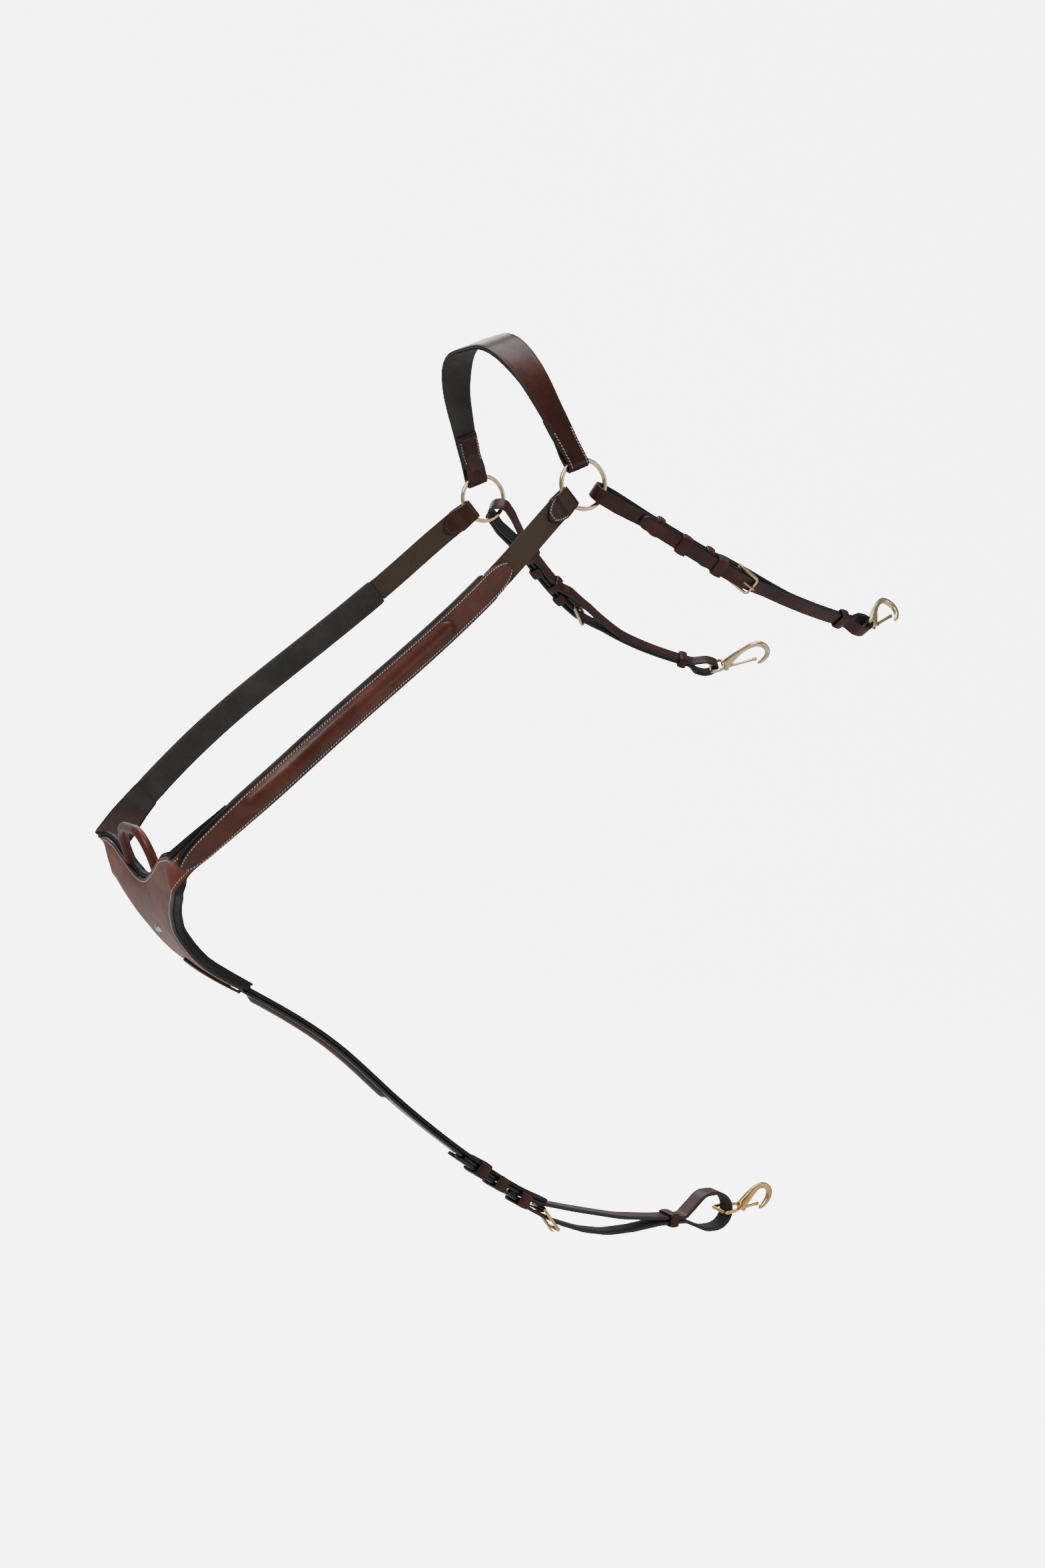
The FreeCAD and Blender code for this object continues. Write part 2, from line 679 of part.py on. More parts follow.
def make_adjuster():
    path = adjuster_path()
    half = size("adjuster_leather") / 2
    body = new_body("adjuster_band")
    pad(body, ribbon_edges(path, -half, half), "Sizes.adjuster_width")
    body.Placement = GIRTH_FRAME
    doc.recompute()
    # Round the billet's tip and punch its holes.
    tip, before = V(path[-1][0], 0, path[-1][1]), V(path[-2][0], 0, path[-2][1])
    along = (tip - before).normalize()
    half_width = size("adjuster_width") / 2
    cutter = Part.makeBox(60, half_width * 2.4, 8, V(0, -half_width * 1.2, -4))
    cutter = cutter.cut(Part.makeCylinder(half_width, 8, V(0, 0, -4), Z_AXIS))
    cutter.Placement = placed(tip - along * half_width, along, Y_AXIS)
    shape = body.Shape.cut(cutter)
    slot = Part.makeBox(28, 4.4, 14, V(-3.4, -2.2, -3.2))
    slot.Placement = placed(GIRTH_REAR_BAR, GIRTH_FRONT_BAR - GIRTH_REAR_BAR, Y_AXIS * -1)
    shape = shape.cut(slot)
    hole = size("hole_radius")
    for d in GIRTH_HOLES:
        point, _, _, normal = girth_route().frame(d)
        shape = shape.cut(Part.makeCylinder(hole, 10, point - normal * 8.3, normal * -1))
    for x in (440, 465, 490):
        shape = shape.cut(Part.makeCylinder(hole, 10, V(x, 0, -350.5), Z_AXIS))
    feature = doc.addObject("Part::Feature", "girth_adjuster")
    feature.Shape = shape
    keep("girth_adjuster", feature)


def make_girth_chape():
    """Thin leather folded round the girth buckle's bar and sewn on the adjuster."""
    leather = size("chape_leather")
    depth = GIRTH_LINING + 0.1 + size("adjuster_leather") + 0.1 + leather / 2
    bar = GIRTH_REAR_BAR
    fold = BUCKLE_BAR + 0.1 + leather / 2
    end, end_depth = V(*girth_point(352, depth), 0), depth + leather + 0.05
    centre = V(bar.x, bar.z, 0)
    along = (centre - V(*girth_point(368, depth + fold), 0)).normalize()
    across = V(-along.y, along.x, 0)

    def at(run, out):
        point = centre + along * run + across * out
        return point.x, point.y
    path = [(end.x, end.y, 0), (*girth_point(368, depth), 20), (*at(-4, fold), 8),
            (*at(fold, fold), fold - 0.01), (*at(fold, -fold), fold - 0.01), (*at(-6, -fold), 8),
            (*girth_point(362, end_depth), 12), (*girth_point(352, end_depth), 0)]
    body = new_body("girth_chape")
    pad(body, ribbon_edges(path, -leather / 2, leather / 2), "Sizes.chape_width")
    slot_half = 2.2
    slot = [(bar.x - 3, -slot_half), (bar.x + 12, -slot_half),
            (bar.x + 12, slot_half), (bar.x - 3, slot_half)]
    pocket(body, polygon_edges(slot), 1200, "XZ_Plane")
    keep("girth_chape", body, GIRTH_FRAME)


def make_buckle(label, rear, front, across, strap_width, tongue_label):
    """Rectangular buckle with a round rear bar, and its tongue on that bar."""
    frame = placed(rear, front - rear, across)
    reach = (front - rear).Length
    inner, wall, corner = strap_width / 2 + 0.8, 3.0, 2.6
    outer = inner + wall
    bar = BUCKLE_BAR
    rim = [(-1.2, -outer, 0), (reach + bar, -outer, corner), (reach + bar, outer, corner), (-1.2, outer, 0)]
    window = [(-3, -inner), (reach - bar, -inner), (reach - bar, inner), (-3, inner)]
    body = new_body(label)
    outline = []
    for piece in corner_path(rim):
        if piece[0] == "run":
            outline.append(Part.LineSegment(piece[1], piece[2]))
        else:
            _, centre, radius, first, turn = piece
            at = [centre + V(radius * math.cos(first + turn * t), radius * math.sin(first + turn * t), 0)
                  for t in (0, 0.5, 1)]
            outline.append(Part.Arc(*at))
    outline.append(Part.LineSegment(V(-1.2, outer, 0), V(-1.2, -outer, 0)))
    pad(body, outline, 2 * bar)
    pocket(body, polygon_edges(window), 10)
    rod = body.newObject("PartDesign::AdditiveCylinder", label + "_bar")
    rod.Radius, rod.Height = bar, 2 * inner + 2
    rod.Placement = FreeCAD.Placement(V(0, inner + 1, 0), FreeCAD.Rotation(X_AXIS, 90))
    doc.recompute()
    keep(label, body, frame)
    # Tongue: an eye that turns on the rear bar, and a rod that rests on the front bar.
    eye_outer, half_eye, rod_radius = bar + 1.25, 1.5, 1.15
    rise = bar + rod_radius + 0.12
    eye = Part.makeCylinder(eye_outer, 2 * half_eye, V(0, -half_eye, 0), Y_AXIS)
    tilt = math.asin(rise / reach)
    direction = V(math.cos(tilt), 0, math.sin(tilt))
    prong = Part.makeCylinder(rod_radius, reach + 3.4, V(0, 0, 0), direction)
    prong = prong.fuse(Part.makeSphere(rod_radius, direction * (reach + 3.4)))
    tongue = eye.fuse(prong).cut(Part.makeCylinder(bar + size("running_gap"), 20, V(0, -10, 0), Y_AXIS))
    feature = doc.addObject("Part::Feature", tongue_label)
    feature.Shape = tongue
    keep(tongue_label, feature, frame)


def keeper_solid(half_width, low, high, length, wall):
    """Rectangular leather loop: local X along the strap, Y across it, Z outward."""
    outer = Part.makeBox(length, 2 * (half_width + wall), high - low + 2 * wall,
                         V(-length / 2, -half_width - wall, low - wall))
    inner = Part.makeBox(length + 2, 2 * half_width, high - low, V(-length / 2 - 1, -half_width, low))
    return outer.cut(inner)


def make_girth():
    make_girth_head()
    make_girth_strap()
    make_adjuster()
    make_girth_chape()
    make_buckle("girth_buckle", GIRTH_REAR_BAR, GIRTH_FRONT_BAR, Y_AXIS * -1, size("adjuster_width"),
                "girth_tongue")
    wall = size("keeper_leather")
    half_width = size("girth_lining_width") / 2 + 0.1
    loops = []
    for d, low, high in GIRTH_KEEPERS:
        point, tangent, _, normal = girth_route().frame(d)
        loop = keeper_solid(half_width, low, high, size("keeper_length"), wall)
        outward = normal * -1
        loop.Placement = placed(point + normal * 0.1, tangent, outward.cross(tangent))
        loops.append(loop)
    shaped("girth_keepers", Part.Compound(loops))
    # The sliding keeper closes the adjuster's two runs beside the snap.
    slider = keeper_solid(size("adjuster_width") / 2 + 0.4, -4.9, 4.9, size("keeper_length"), wall)
    slider.Placement = placed(V(526, 0, -341.9), V(1, 0, -0.066), Y_AXIS)
    shaped("girth_slider", slider)


# ---------------------------------------------------------------- saddle straps
class SaddleRoute:
    """Place of a saddle strap: c along it from the ring's centre, n outward through its layers, b across it.

    The strap bows outward and rolls as it goes, so that its upper edge leans further out at the snap.
    """

    def __init__(self, side, chord, eye, bow, bar, tip):
        self.side, self.sign = side, SIDES[side]
        self.chord = V(chord[0], self.sign * chord[1], chord[2]).normalize()
        self.eye, self.bow, self.bar, self.tip = eye, bow, bar, tip
        self.up = V(-self.chord.z, 0, self.chord.x).normalize()
        self.out = V(0, self.sign, 0)

    def roll(self, c):
        return math.radians(ROLL_AT_RING + (ROLL_AT_SNAP - ROLL_AT_RING) * c / self.eye)

    def point(self, c, n, b):
        roll = self.roll(c)
        outward = self.out * math.cos(roll) - self.up * math.sin(roll)
        across = self.up * math.cos(roll) + self.out * math.sin(roll)
        t = max(0.0, (c - LOOP_CENTRE) / (self.eye - LOOP_CENTRE))
        sag = self.bow * math.sin(math.pi * min(t, 1.05))
        # The loop stays square to the ring; the strap leaves the ring's plane only after it.
        level = Y_AXIS * (self.chord.y * min(c, LOOP_CENTRE))
        return RING_CENTRE[self.side] + self.chord * c - level + outward * (n + sag) + across * b

    def frame(self, c, n=0.0):
        """Origin, along, across and outward directions at one place of the strap."""
        origin = self.point(c, n, 0)
        along = (self.point(c + 2, n, 0) - self.point(c - 2, n, 0)).normalize()
        across = self.point(c, n, 1) - origin
        across = (across - along * across.dot(along)).normalize()
        outward = (self.point(c, n + 1, 0) - origin)
        outward = (outward - along * outward.dot(along) - across * outward.dot(across)).normalize()
        return origin, along, across, outward


ROLL_AT_RING, ROLL_AT_SNAP = 28, 52
LOOP_CENTRE, LOOP_RADIUS = 23.3, 10.8
BIGHT_RADIUS = 8.8
BUCKLE_LENGTH = 20
SADDLE = {
    "left": dict(chord=(0.914, 0.07, -0.399), eye=330, bow=25, bar=168, tip=61,
                 small=(80, 135), large=(109, 149), holes=(201, 223, 246, 269)),
    "right": dict(chord=(0.839, 0.0, -0.544), eye=322, bow=40, bar=160, tip=17,
                  small=(84, 127), large=(102, 142), holes=(190, 213, 238, 263)),
}


def saddle_route(side):
    spec = SADDLE[side]
    return SaddleRoute(side, spec["chord"], spec["eye"], spec["bow"], spec["bar"], spec["tip"])


def saddle_path(route):
    """Strap path in (c, n): buckle end, ring loop, back run, bight round the snap, billet to its tip."""
    pitch, bar, eye = size("layer_pitch"), route.bar, route.eye
    chape = 1.75 + size("saddle_leather") / 2
    back = -2 * chape - size("saddle_leather") - 0.3
    bight = eye - 4.5
    middle = -1.8
    low, high = middle - BIGHT_RADIUS, middle + BIGHT_RADIUS
    first = [(bar - 15, -2 * chape, 0), (bar + chape, -2 * chape, chape - 0.01),
             (bar + chape, 0, chape - 0.01), (70, 0, 40), (36, LOOP_RADIUS, 16),
             (LOOP_CENTRE - LOOP_RADIUS, LOOP_RADIUS, LOOP_RADIUS - 0.02),
             (LOOP_CENTRE - LOOP_RADIUS, -LOOP_RADIUS, LOOP_RADIUS - 0.02), (36, -LOOP_RADIUS, 16),
             (68, -pitch, 40), (bar - 26, -pitch, 14), (bar - 15, back, 14), (bar + 14, back, 30),
             (bar + 62, -3.6, 60), (eye - 21, -3.6, 10), (eye - 11, low, 8),
             (bight + BIGHT_RADIUS, low, BIGHT_RADIUS - 0.05),
             (bight + BIGHT_RADIUS, high, BIGHT_RADIUS - 0.05),
             (eye - 11, high, 8), (eye - 21, 0, 10), (bar + 40, 0, 30), (bar + 7, pitch, 22)]
    if route.tip > 60:
        return first + [(route.tip, pitch, 0)]
    return first + [(76, pitch, 40), (38, LOOP_RADIUS + 4.2, 15), (route.tip, LOOP_RADIUS + 4.4, 0)]


def make_saddle_strap(side):
    route, spec = saddle_route(side), SADDLE[side]
    path = saddle_path(route)
    half, half_width = size("saddle_leather") / 2, size("saddle_width") / 2
    stations = sampled(path)
    total = stations[-1][3]
    # Extra stations give the billet's tip its round nose.
    x, y, angle, _ = stations[-1]
    stations = [s for s in stations if s[3] < total - 12]
    stations += [(x - math.cos(angle) * back, y - math.sin(angle) * back, angle, total - back)
                 for back in (11, 7, 4, 2, 0.8, 0)]
    sections = []
    for c, n, angle, walked in stations:
        w = rounded_end(total - walked, half_width, 9, 0.25)
        m = (-math.sin(angle), math.cos(angle))
        sections.append([route.point(c + m[0] * t, n + m[1] * t, b)
                         for t, b in ((-half, -w), (-half, w), (half, w), (half, -w))])
    strap = loft(sections)
    pitch = size("layer_pitch")
    hole = size("hole_radius")
    for c in spec["holes"]:
        level = pitch * max(0, min(1, (route.bar + 40 - c) / 33))
        origin, _, _, outward = route.frame(c, level)
        strap = strap.cut(Part.makeCylinder(hole, 5, origin - outward * 2.5, outward))
    spare = [c for c in (route.bar - 72, route.bar - 47, route.bar - 13) if c > route.tip + 12]
    for c in spare:
        origin, _, _, outward = route.frame(c, pitch)
        strap = strap.cut(Part.makeCylinder(hole, 5, origin - outward * 2.5, outward))
    # Slots for the buckle's tongue, in the fold round the bar and in the billet.
    origin, along, across, _ = saddle_buckle_frame(route)
    slot = Part.makeBox(24, 4.6, 16, V(-3.4, -2.3, -3.6))
    slot.Placement = placed(origin, along, across)
    strap = strap.cut(slot)
    feature = doc.addObject("Part::Feature", side + "_saddle_strap")
    feature.Shape = strap
    keep(side + "_saddle_strap", feature)


def saddle_buckle_frame(route):
    """Rear bar's centre, and the buckle's along, across and outward directions, right-handed."""
    chape = 1.75 + size("saddle_leather") / 2
    rear, _, across, _ = route.frame(route.bar, -chape)
    front = route.point(route.bar + BUCKLE_LENGTH, 7.0, 0)
    along = (front - rear).normalize()
    across = (across - along * across.dot(along)).normalize()
    outward = across.cross(along) * (-route.sign)
    if outward.dot(route.frame(route.bar)[3]) < 0:
        outward = outward * -1
    return rear, along, outward.cross(along), outward


def make_saddle_buckle(side):
    route = saddle_route(side)
    rear, along, across, _ = saddle_buckle_frame(route)
    make_buckle(side + "_buckle", rear, rear + along * BUCKLE_LENGTH * 1.12, across, size("saddle_width"),
                side + "_tongue")


def make_saddle_keepers(side):
    route, spec = saddle_route(side), SADDLE[side]
    pitch, half, wall = size("layer_pitch"), size("saddle_leather") / 2 + 0.12, size("keeper_leather")
    half_width = size("saddle_width") / 2 + 0.15
    groups = {"small": (-pitch - half, half), "large": (-half, pitch + half)}
    for name, (low, high) in groups.items():
        loops = []
        for c in spec[name]:
            origin, along, across, outward = route.frame(c, 0)
            loop = keeper_solid(half_width, low, high, size("keeper_length") - 1, wall)
            if along.cross(across).dot(outward) < 0:
                across = across * -1
            loop.Placement = placed(origin, along, across)
            loops.append(loop)
        shaped(f"{side}_{name}_keepers", Part.Compound(loops))
    origin, along, across, outward = route.frame(route.eye - 31, -1.8)
    reach = 1.8 + half + 0.4
    slider = keeper_solid(half_width + 0.3, -reach, reach, size("keeper_length") - 1, wall)
    slider.Placement = placed(origin, along, across)
    shaped(side + "_slider", slider)


# ---------------------------------------------------------------- snap hooks
SNAP_CHEEK = 1.4
# Side view of each snap: local X along it from the eye bar, local Y towards its back.
SNAPS = {
    "saddle": dict(arm=12.5, neck=15.5, pivot=(15.8, -4.7), slot=(13.9, 17.6), gate=(19.2, 50.5),
                   outer=[(12.8, 3.6), (25, 9.4), (41, 14.2), (55, 16.2), (63.5, 11.5), (66.4, 2.0),
                          (61.5, -6.5), (50.5, -12.0)],
                   inner=[(47.5, -8.2), (56.5, -5.0), (60.2, 2.5), (56.5, 9.2), (47.5, 11.0), (38.5, 8.4),
                          (31.0, 3.0), (26.5, -1.6)],
                   cheek=[(20.5, -3.4), (18.6, -7.0), (13.4, -7.0)]),
    "girth": dict(arm=14.0, neck=25.5, pivot=(27.2, -4.2), slot=(25.2, 14.6), gate=(30.2, 47.8),
                  outer=[(23.6, 3.6), (33, 10.6), (44, 15.6), (54, 17.2), (61.8, 13.8), (65, 5.5),
                         (60.5, -4.0), (49.0, -11.4)],
                  inner=[(45.6, -7.6), (54.0, -3.0), (58.6, 4.6), (55.4, 10.4), (48.4, 11.0), (41.6, 7.8),
                         (36.4, 3.0), (33.2, -1.4)],
                  cheek=[(31.4, -3.4), (30.0, -7.0), (24.6, -7.0)]),
}


def snap_hook_outline(spec):
    """Closed side outline: the back, the tip, the inside of the hook and the cheeks."""
    outer, inner = Part.BSplineCurve(), Part.BSplineCurve()
    outer.interpolate([V(x, y, 0) for x, y in spec["outer"]])
    inner.interpolate([V(x, y, 0) for x, y in spec["inner"]])
    corners = [V(x, y, 0) for x, y in [spec["inner"][-1]] + spec["cheek"] + [spec["outer"][0]]]
    lines = [Part.LineSegment(a, b) for a, b in zip(corners, corners[1:])]
    tip = Part.LineSegment(V(*spec["outer"][-1], 0), V(*spec["inner"][0], 0))
    return [outer, tip, inner] + lines


def make_snap(prefix, frame, inner_half, spec):
    """Snap hook: a square eye for the strap, a hook square to it, a sprung gate, its pin and its spring."""
    thick, bar = size("snap_thickness"), size("snap_eye_bar")
    pivot = V(*spec["pivot"], 0)
    body = new_body(prefix + "_snap")
    pad(body, snap_hook_outline(spec), "Sizes.snap_thickness")
    # Slot between the cheeks, for the gate.
    slot_start, slot_length = spec["slot"]
    slot = Part.makeBox(slot_length, 13, thick - 2 * SNAP_CHEEK, V(slot_start, -9.6, -thick / 2 + SNAP_CHEEK))
    hole = Part.makeCylinder(size("pin_radius"), thick + 2, pivot - V(0, 0, thick / 2 + 1), Z_AXIS)
    arm = inner_half + bar
    eye = Part.makeCylinder(bar, 2 * arm, V(0, 0, -arm), Z_AXIS)
    for sign in (-1, 1):
        corner, knee, neck = V(0, 0, sign * arm), V(spec["arm"], 0, sign * arm), V(spec["neck"], 1, 0)
        eye = eye.fuse(Part.makeSphere(bar, corner)).fuse(Part.makeCylinder(bar, spec["arm"], corner, X_AXIS))
        eye = eye.fuse(Part.makeSphere(bar, knee))
        eye = eye.fuse(Part.makeCylinder(bar, (neck - knee).Length, knee, neck - knee))
    shape = body.Shape.fuse(eye).cut(slot).cut(hole).removeSplitter()
    feature = doc.addObject("Part::Feature", prefix + "_snap_hook")
    feature.Shape = shape
    keep(prefix + "_snap_hook", feature, frame)

    gate_start, gate_end = spec["gate"]
    gate = Part.makeCylinder(size("gate_radius"), gate_end - gate_start, V(gate_start, pivot.y, 0), X_AXIS)
    root = Part.makeBox(gate_start + 2 - pivot.x, 3.4, 2.6, pivot + V(0, -1.7, -1.5))
    root = root.fuse(Part.makeCylinder(1.7, 2.6, pivot - V(0, 0, 1.5), Z_AXIS))
    gate = gate.fuse(root).cut(Part.makeCylinder(size("pin_radius") + size("running_gap"), 10,
                                                 pivot - V(0, 0, 5), Z_AXIS))
    feature = doc.addObject("Part::Feature", prefix + "_gate")
    feature.Shape = gate
    keep(prefix + "_gate", feature, frame)

    pin = doc.addObject("Part::Cylinder", prefix + "_gate_pin")
    pin.setExpression("Radius", "Sizes.pin_radius")
    pin.setExpression("Height", "Sizes.snap_thickness")
    local = FreeCAD.Placement(pivot - V(0, 0, thick / 2), FreeCAD.Rotation())
    keep(prefix + "_gate_pin", pin, frame.multiply(local))

    spring = doc.addObject("Part::Torus", prefix + "_gate_spring")
    spring.Radius1, spring.Radius2 = size("pin_radius") + 0.45, 0.3
    local = FreeCAD.Placement(pivot + V(0, 0, 1.6), FreeCAD.Rotation())
    keep(prefix + "_gate_spring", spring, frame.multiply(local))


SNAP_LIFT = {"left": 35, "right": 35}


def saddle_snap_frame(side):
    """Snap's frame: origin on its eye bar, X out along the snap, Z along the bar."""
    route = saddle_route(side)
    origin, along, across, outward = route.frame(route.eye, -1.8)
    lift = math.radians(SNAP_LIFT[side])
    out = along * math.cos(lift) - outward * math.sin(lift)
    back = (outward * -math.cos(lift) - along * math.sin(lift)).normalize()
    return placed(origin, out, back)


def girth_snap_frame():
    rise = math.radians(7)
    out = V(math.cos(rise), 0, math.sin(rise))
    return placed(GIRTH_EYE, out, V(-out.z, 0, out.x))


# ---------------------------------------------------------------- build
for each_side in SIDES:
    make_ring(each_side)
make_wither_strap()
for each_side in SIDES:
    make_tab(each_side)
    make_shoulder(each_side)
make_chest_plate()
make_rolled_loop()
make_stud()
make_girth()
make_snap("girth", girth_snap_frame(), size("adjuster_width") / 2 + 0.8, SNAPS["girth"])
for each_side in SIDES:
    make_saddle_strap(each_side)
    make_saddle_buckle(each_side)
    make_saddle_keepers(each_side)
    make_snap(each_side, saddle_snap_frame(each_side), size("saddle_width") / 2 + 0.8, SNAPS["saddle"])

doc.recompute()
problems = [f"{obj.Label}: {obj.State}" for obj in doc.Objects if {"Invalid", "Error"} & set(obj.State)]
for node in NODES:
    shape = node.Shape
    if shape.isNull() or not shape.isValid() or not shape.Solids:
        problems.append(f"{node.Label}: shape is not a valid solid")
if problems:
    raise RuntimeError("\n".join(problems))

os.makedirs("parts", exist_ok=True)
for node in NODES:
    node.Shape.exportStep(f"parts/{node.Label}.step")
print(len(NODES), "parts written")
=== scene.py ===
"""Looks of the horse martingale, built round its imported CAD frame.  Lengths in this file are millimetres
in the row frame, +X to the horse's tail, +Y to its right and +Z up; meshes are written in metres."""
import math
import random

import bmesh
import bpy
import numpy as np
from mathutils import Matrix, Vector


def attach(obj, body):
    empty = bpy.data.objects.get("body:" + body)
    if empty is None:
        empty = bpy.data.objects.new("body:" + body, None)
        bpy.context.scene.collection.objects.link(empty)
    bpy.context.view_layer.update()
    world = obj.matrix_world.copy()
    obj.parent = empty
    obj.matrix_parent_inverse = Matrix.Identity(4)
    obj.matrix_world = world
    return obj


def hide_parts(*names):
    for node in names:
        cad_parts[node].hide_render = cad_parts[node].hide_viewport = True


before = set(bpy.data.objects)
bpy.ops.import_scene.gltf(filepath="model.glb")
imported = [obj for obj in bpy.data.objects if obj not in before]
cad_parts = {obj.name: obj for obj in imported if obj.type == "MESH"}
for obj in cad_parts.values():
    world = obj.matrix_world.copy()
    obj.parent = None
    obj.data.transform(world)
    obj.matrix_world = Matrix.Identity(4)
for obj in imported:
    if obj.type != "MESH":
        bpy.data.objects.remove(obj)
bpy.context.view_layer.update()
random.seed(7)

MM = 0.001
V = Vector
Y_AXIS, Z_AXIS = V((0, 1, 0)), V((0, 0, 1))
SIDES = {"left": -1, "right": 1}
TOP, EDGE, UNDER = 0, 1, 2      # material slots of a strap


# ---------------------------------------------------------------- materials
class Nodes:
    """A material's node tree, with short calls for the nodes used here."""

    def __init__(self, name):
        self.material = bpy.data.materials.new(name)
        self.material.use_nodes = True
        self.tree = self.material.node_tree
        self.shader = self.tree.nodes["Principled BSDF"]

    def node(self, kind, **values):
        node = self.tree.nodes.new(kind)
        for key, value in values.items():
            if isinstance(value, bpy.types.NodeSocket):
                self.tree.links.new(value, node.inputs[key.replace("_", " ")])
            elif key in ("operation", "feature", "bands_direction"):
                setattr(node, key, value)
            else:
                node.inputs[key.replace("_", " ")].default_value = value
        return node

    def place(self, kind="Object"):
        return self.tree.nodes.new("ShaderNodeTexCoord").outputs[kind]

    def noise(self, scale, detail=3.0, rough=0.55, vector=None):
        return self.node("ShaderNodeTexNoise", Vector=vector or self.place(), Scale=scale, Detail=detail,
                         Roughness=rough).outputs["Fac"]

    def ramp(self, factor, stops):
        node = self.tree.nodes.new("ShaderNodeValToRGB")
        self.tree.links.new(factor, node.inputs["Fac"])
        while len(node.color_ramp.elements) < len(stops):
            node.color_ramp.elements.new(0.5)
        for element, (position, colour) in zip(node.color_ramp.elements, stops):
            element.position = position
            element.color = (*colour, 1)
        return node.outputs["Color"]

    def span(self, factor, low, high, start=0.3, stop=0.7):
        node = self.tree.nodes.new("ShaderNodeMapRange")
        self.tree.links.new(factor, node.inputs["Value"])
        for key, value in (("From Min", start), ("From Max", stop), ("To Min", low), ("To Max", high)):
            node.inputs[key].default_value = value
        return node.outputs["Result"]

    def bump(self, height, distance, strength=1.0, normal=None):
        node = self.tree.nodes.new("ShaderNodeBump")
        self.tree.links.new(height, node.inputs["Height"])
        node.inputs["Distance"].default_value = distance
        node.inputs["Strength"].default_value = strength
        if normal:
            self.tree.links.new(normal, node.inputs["Normal"])
        return node.outputs["Normal"]

    def set(self, **values):
        for key, value in values.items():
            socket = self.shader.inputs[key.replace("_", " ")]
            if isinstance(value, bpy.types.NodeSocket):
                self.tree.links.new(value, socket)
            else:
                socket.default_value = value
        return self.material


def leather(name, dark, mid, light, rough=(0.30, 0.42), grain=900.0, depth=0.00006, coat=0.25):
    """Dyed leather: cloudy colour, pebbled grain, fine pores, and roughness that varies with handling."""
    n = Nodes(name)
    cloud = n.noise(22.0, 5.0, 0.6)
    colour = n.ramp(cloud, [(0.30, dark), (0.50, mid), (0.72, light)])
    pebble = n.node("ShaderNodeTexVoronoi", feature="DISTANCE_TO_EDGE", Vector=n.place(), Scale=grain)
    pebble_height = n.span(pebble.outputs["Distance"], 0.0, 1.0, 0.0, 0.16)
    pores = n.noise(grain * 2.6, 2.0, 0.5)
    crease = n.noise(140.0, 4.0, 0.6)
    normal = n.bump(crease, depth * 4, 0.35)
    normal = n.bump(pebble_height, depth, 0.8, normal)
    normal = n.bump(pores, depth * 0.5, 0.5, normal)
    return n.set(Base_Color=colour, Roughness=n.span(n.noise(75.0, 4.0), rough[0], rough[1]), Normal=normal,
                 Coat_Weight=coat, Coat_Roughness=0.15, Specular_IOR_Level=0.2)


def edge_paint(name):
    """Black painted and burnished edge of cut leather."""
    n = Nodes(name)
    wax = n.noise(320.0, 3.0)
    return n.set(Base_Color=n.ramp(wax, [(0.3, (0.004, 0.0035, 0.0035)), (0.75, (0.014, 0.010, 0.009))]),
                 Roughness=n.span(wax, 0.26, 0.44), Normal=n.bump(wax, 0.0001, 0.5))


def flesh_side(name, dark, light):
    """Suede-like back of a strap."""
    n = Nodes(name)
    nap = n.noise(1500.0, 4.0, 0.7)
    return n.set(Base_Color=n.ramp(nap, [(0.25, dark), (0.8, light)]), Roughness=0.78,
                 Normal=n.bump(nap, 0.00012, 0.8), Sheen_Weight=0.15, Sheen_Roughness=0.4)


def thread(name, colour, shade):
    """Waxed linen thread, twisted."""
    n = Nodes(name)
    twist = n.noise(2600.0, 2.0)
    return n.set(Base_Color=n.ramp(twist, [(0.3, shade), (0.65, colour)]), Roughness=0.62,
                 Normal=n.bump(twist, 0.00008, 0.7))


def woven_elastic(name):
    """Ribbed elastic webbing: lengthwise cords crossed by fine weft, coloured by their height as painted
    shade and light.
    """
    n = Nodes(name)
    uv = n.place("UV")
    warp = n.node("ShaderNodeTexWave", bands_direction="Y", Vector=uv, Scale=230.0, Distortion=0.0)
    weft = n.node("ShaderNodeTexWave", bands_direction="X", Vector=uv, Scale=340.0, Distortion=0.4,
                  Detail=1.0)
    fuzz = n.noise(1900.0, 3.0)
    mix = n.node("ShaderNodeMath", operation="MULTIPLY")
    n.tree.links.new(warp.outputs["Fac"], mix.inputs[0])
    n.tree.links.new(weft.outputs["Fac"], mix.inputs[1])
    # The colour follows the weave's height: painted shade darkens the grooves between cords, painted light
    # brightens their crossings.
    colour = n.ramp(mix.outputs[0], [(0.0, (0.030, 0.016, 0.006)), (0.45, (0.066, 0.038, 0.015)),
                                     (1.0, (0.105, 0.066, 0.028))])
    normal = n.bump(mix.outputs[0], 0.00013, 0.8)
    return n.set(Base_Color=colour, Roughness=0.72, Normal=n.bump(fuzz, 0.00005, 0.5, normal),
                 Sheen_Weight=0.05, Sheen_Roughness=0.5)


def metal(name, dark, light, rough=(0.16, 0.30), cast=0.00005):
    """Cast metal, tumbled and polished: a slight cast skin, tarnish and fine rubbing marks."""
    n = Nodes(name)
    tarnish = n.noise(90.0, 5.0, 0.6)
    skin = n.noise(420.0, 3.0)
    rub = n.noise(2400.0, 2.0)
    normal = n.bump(skin, cast, 0.6)
    return n.set(Base_Color=n.ramp(tarnish, [(0.32, dark), (0.62, light)]), Metallic=1.0,
                 Roughness=n.span(rub, rough[0], rough[1]), Normal=n.bump(rub, cast * 0.3, 0.4, normal))


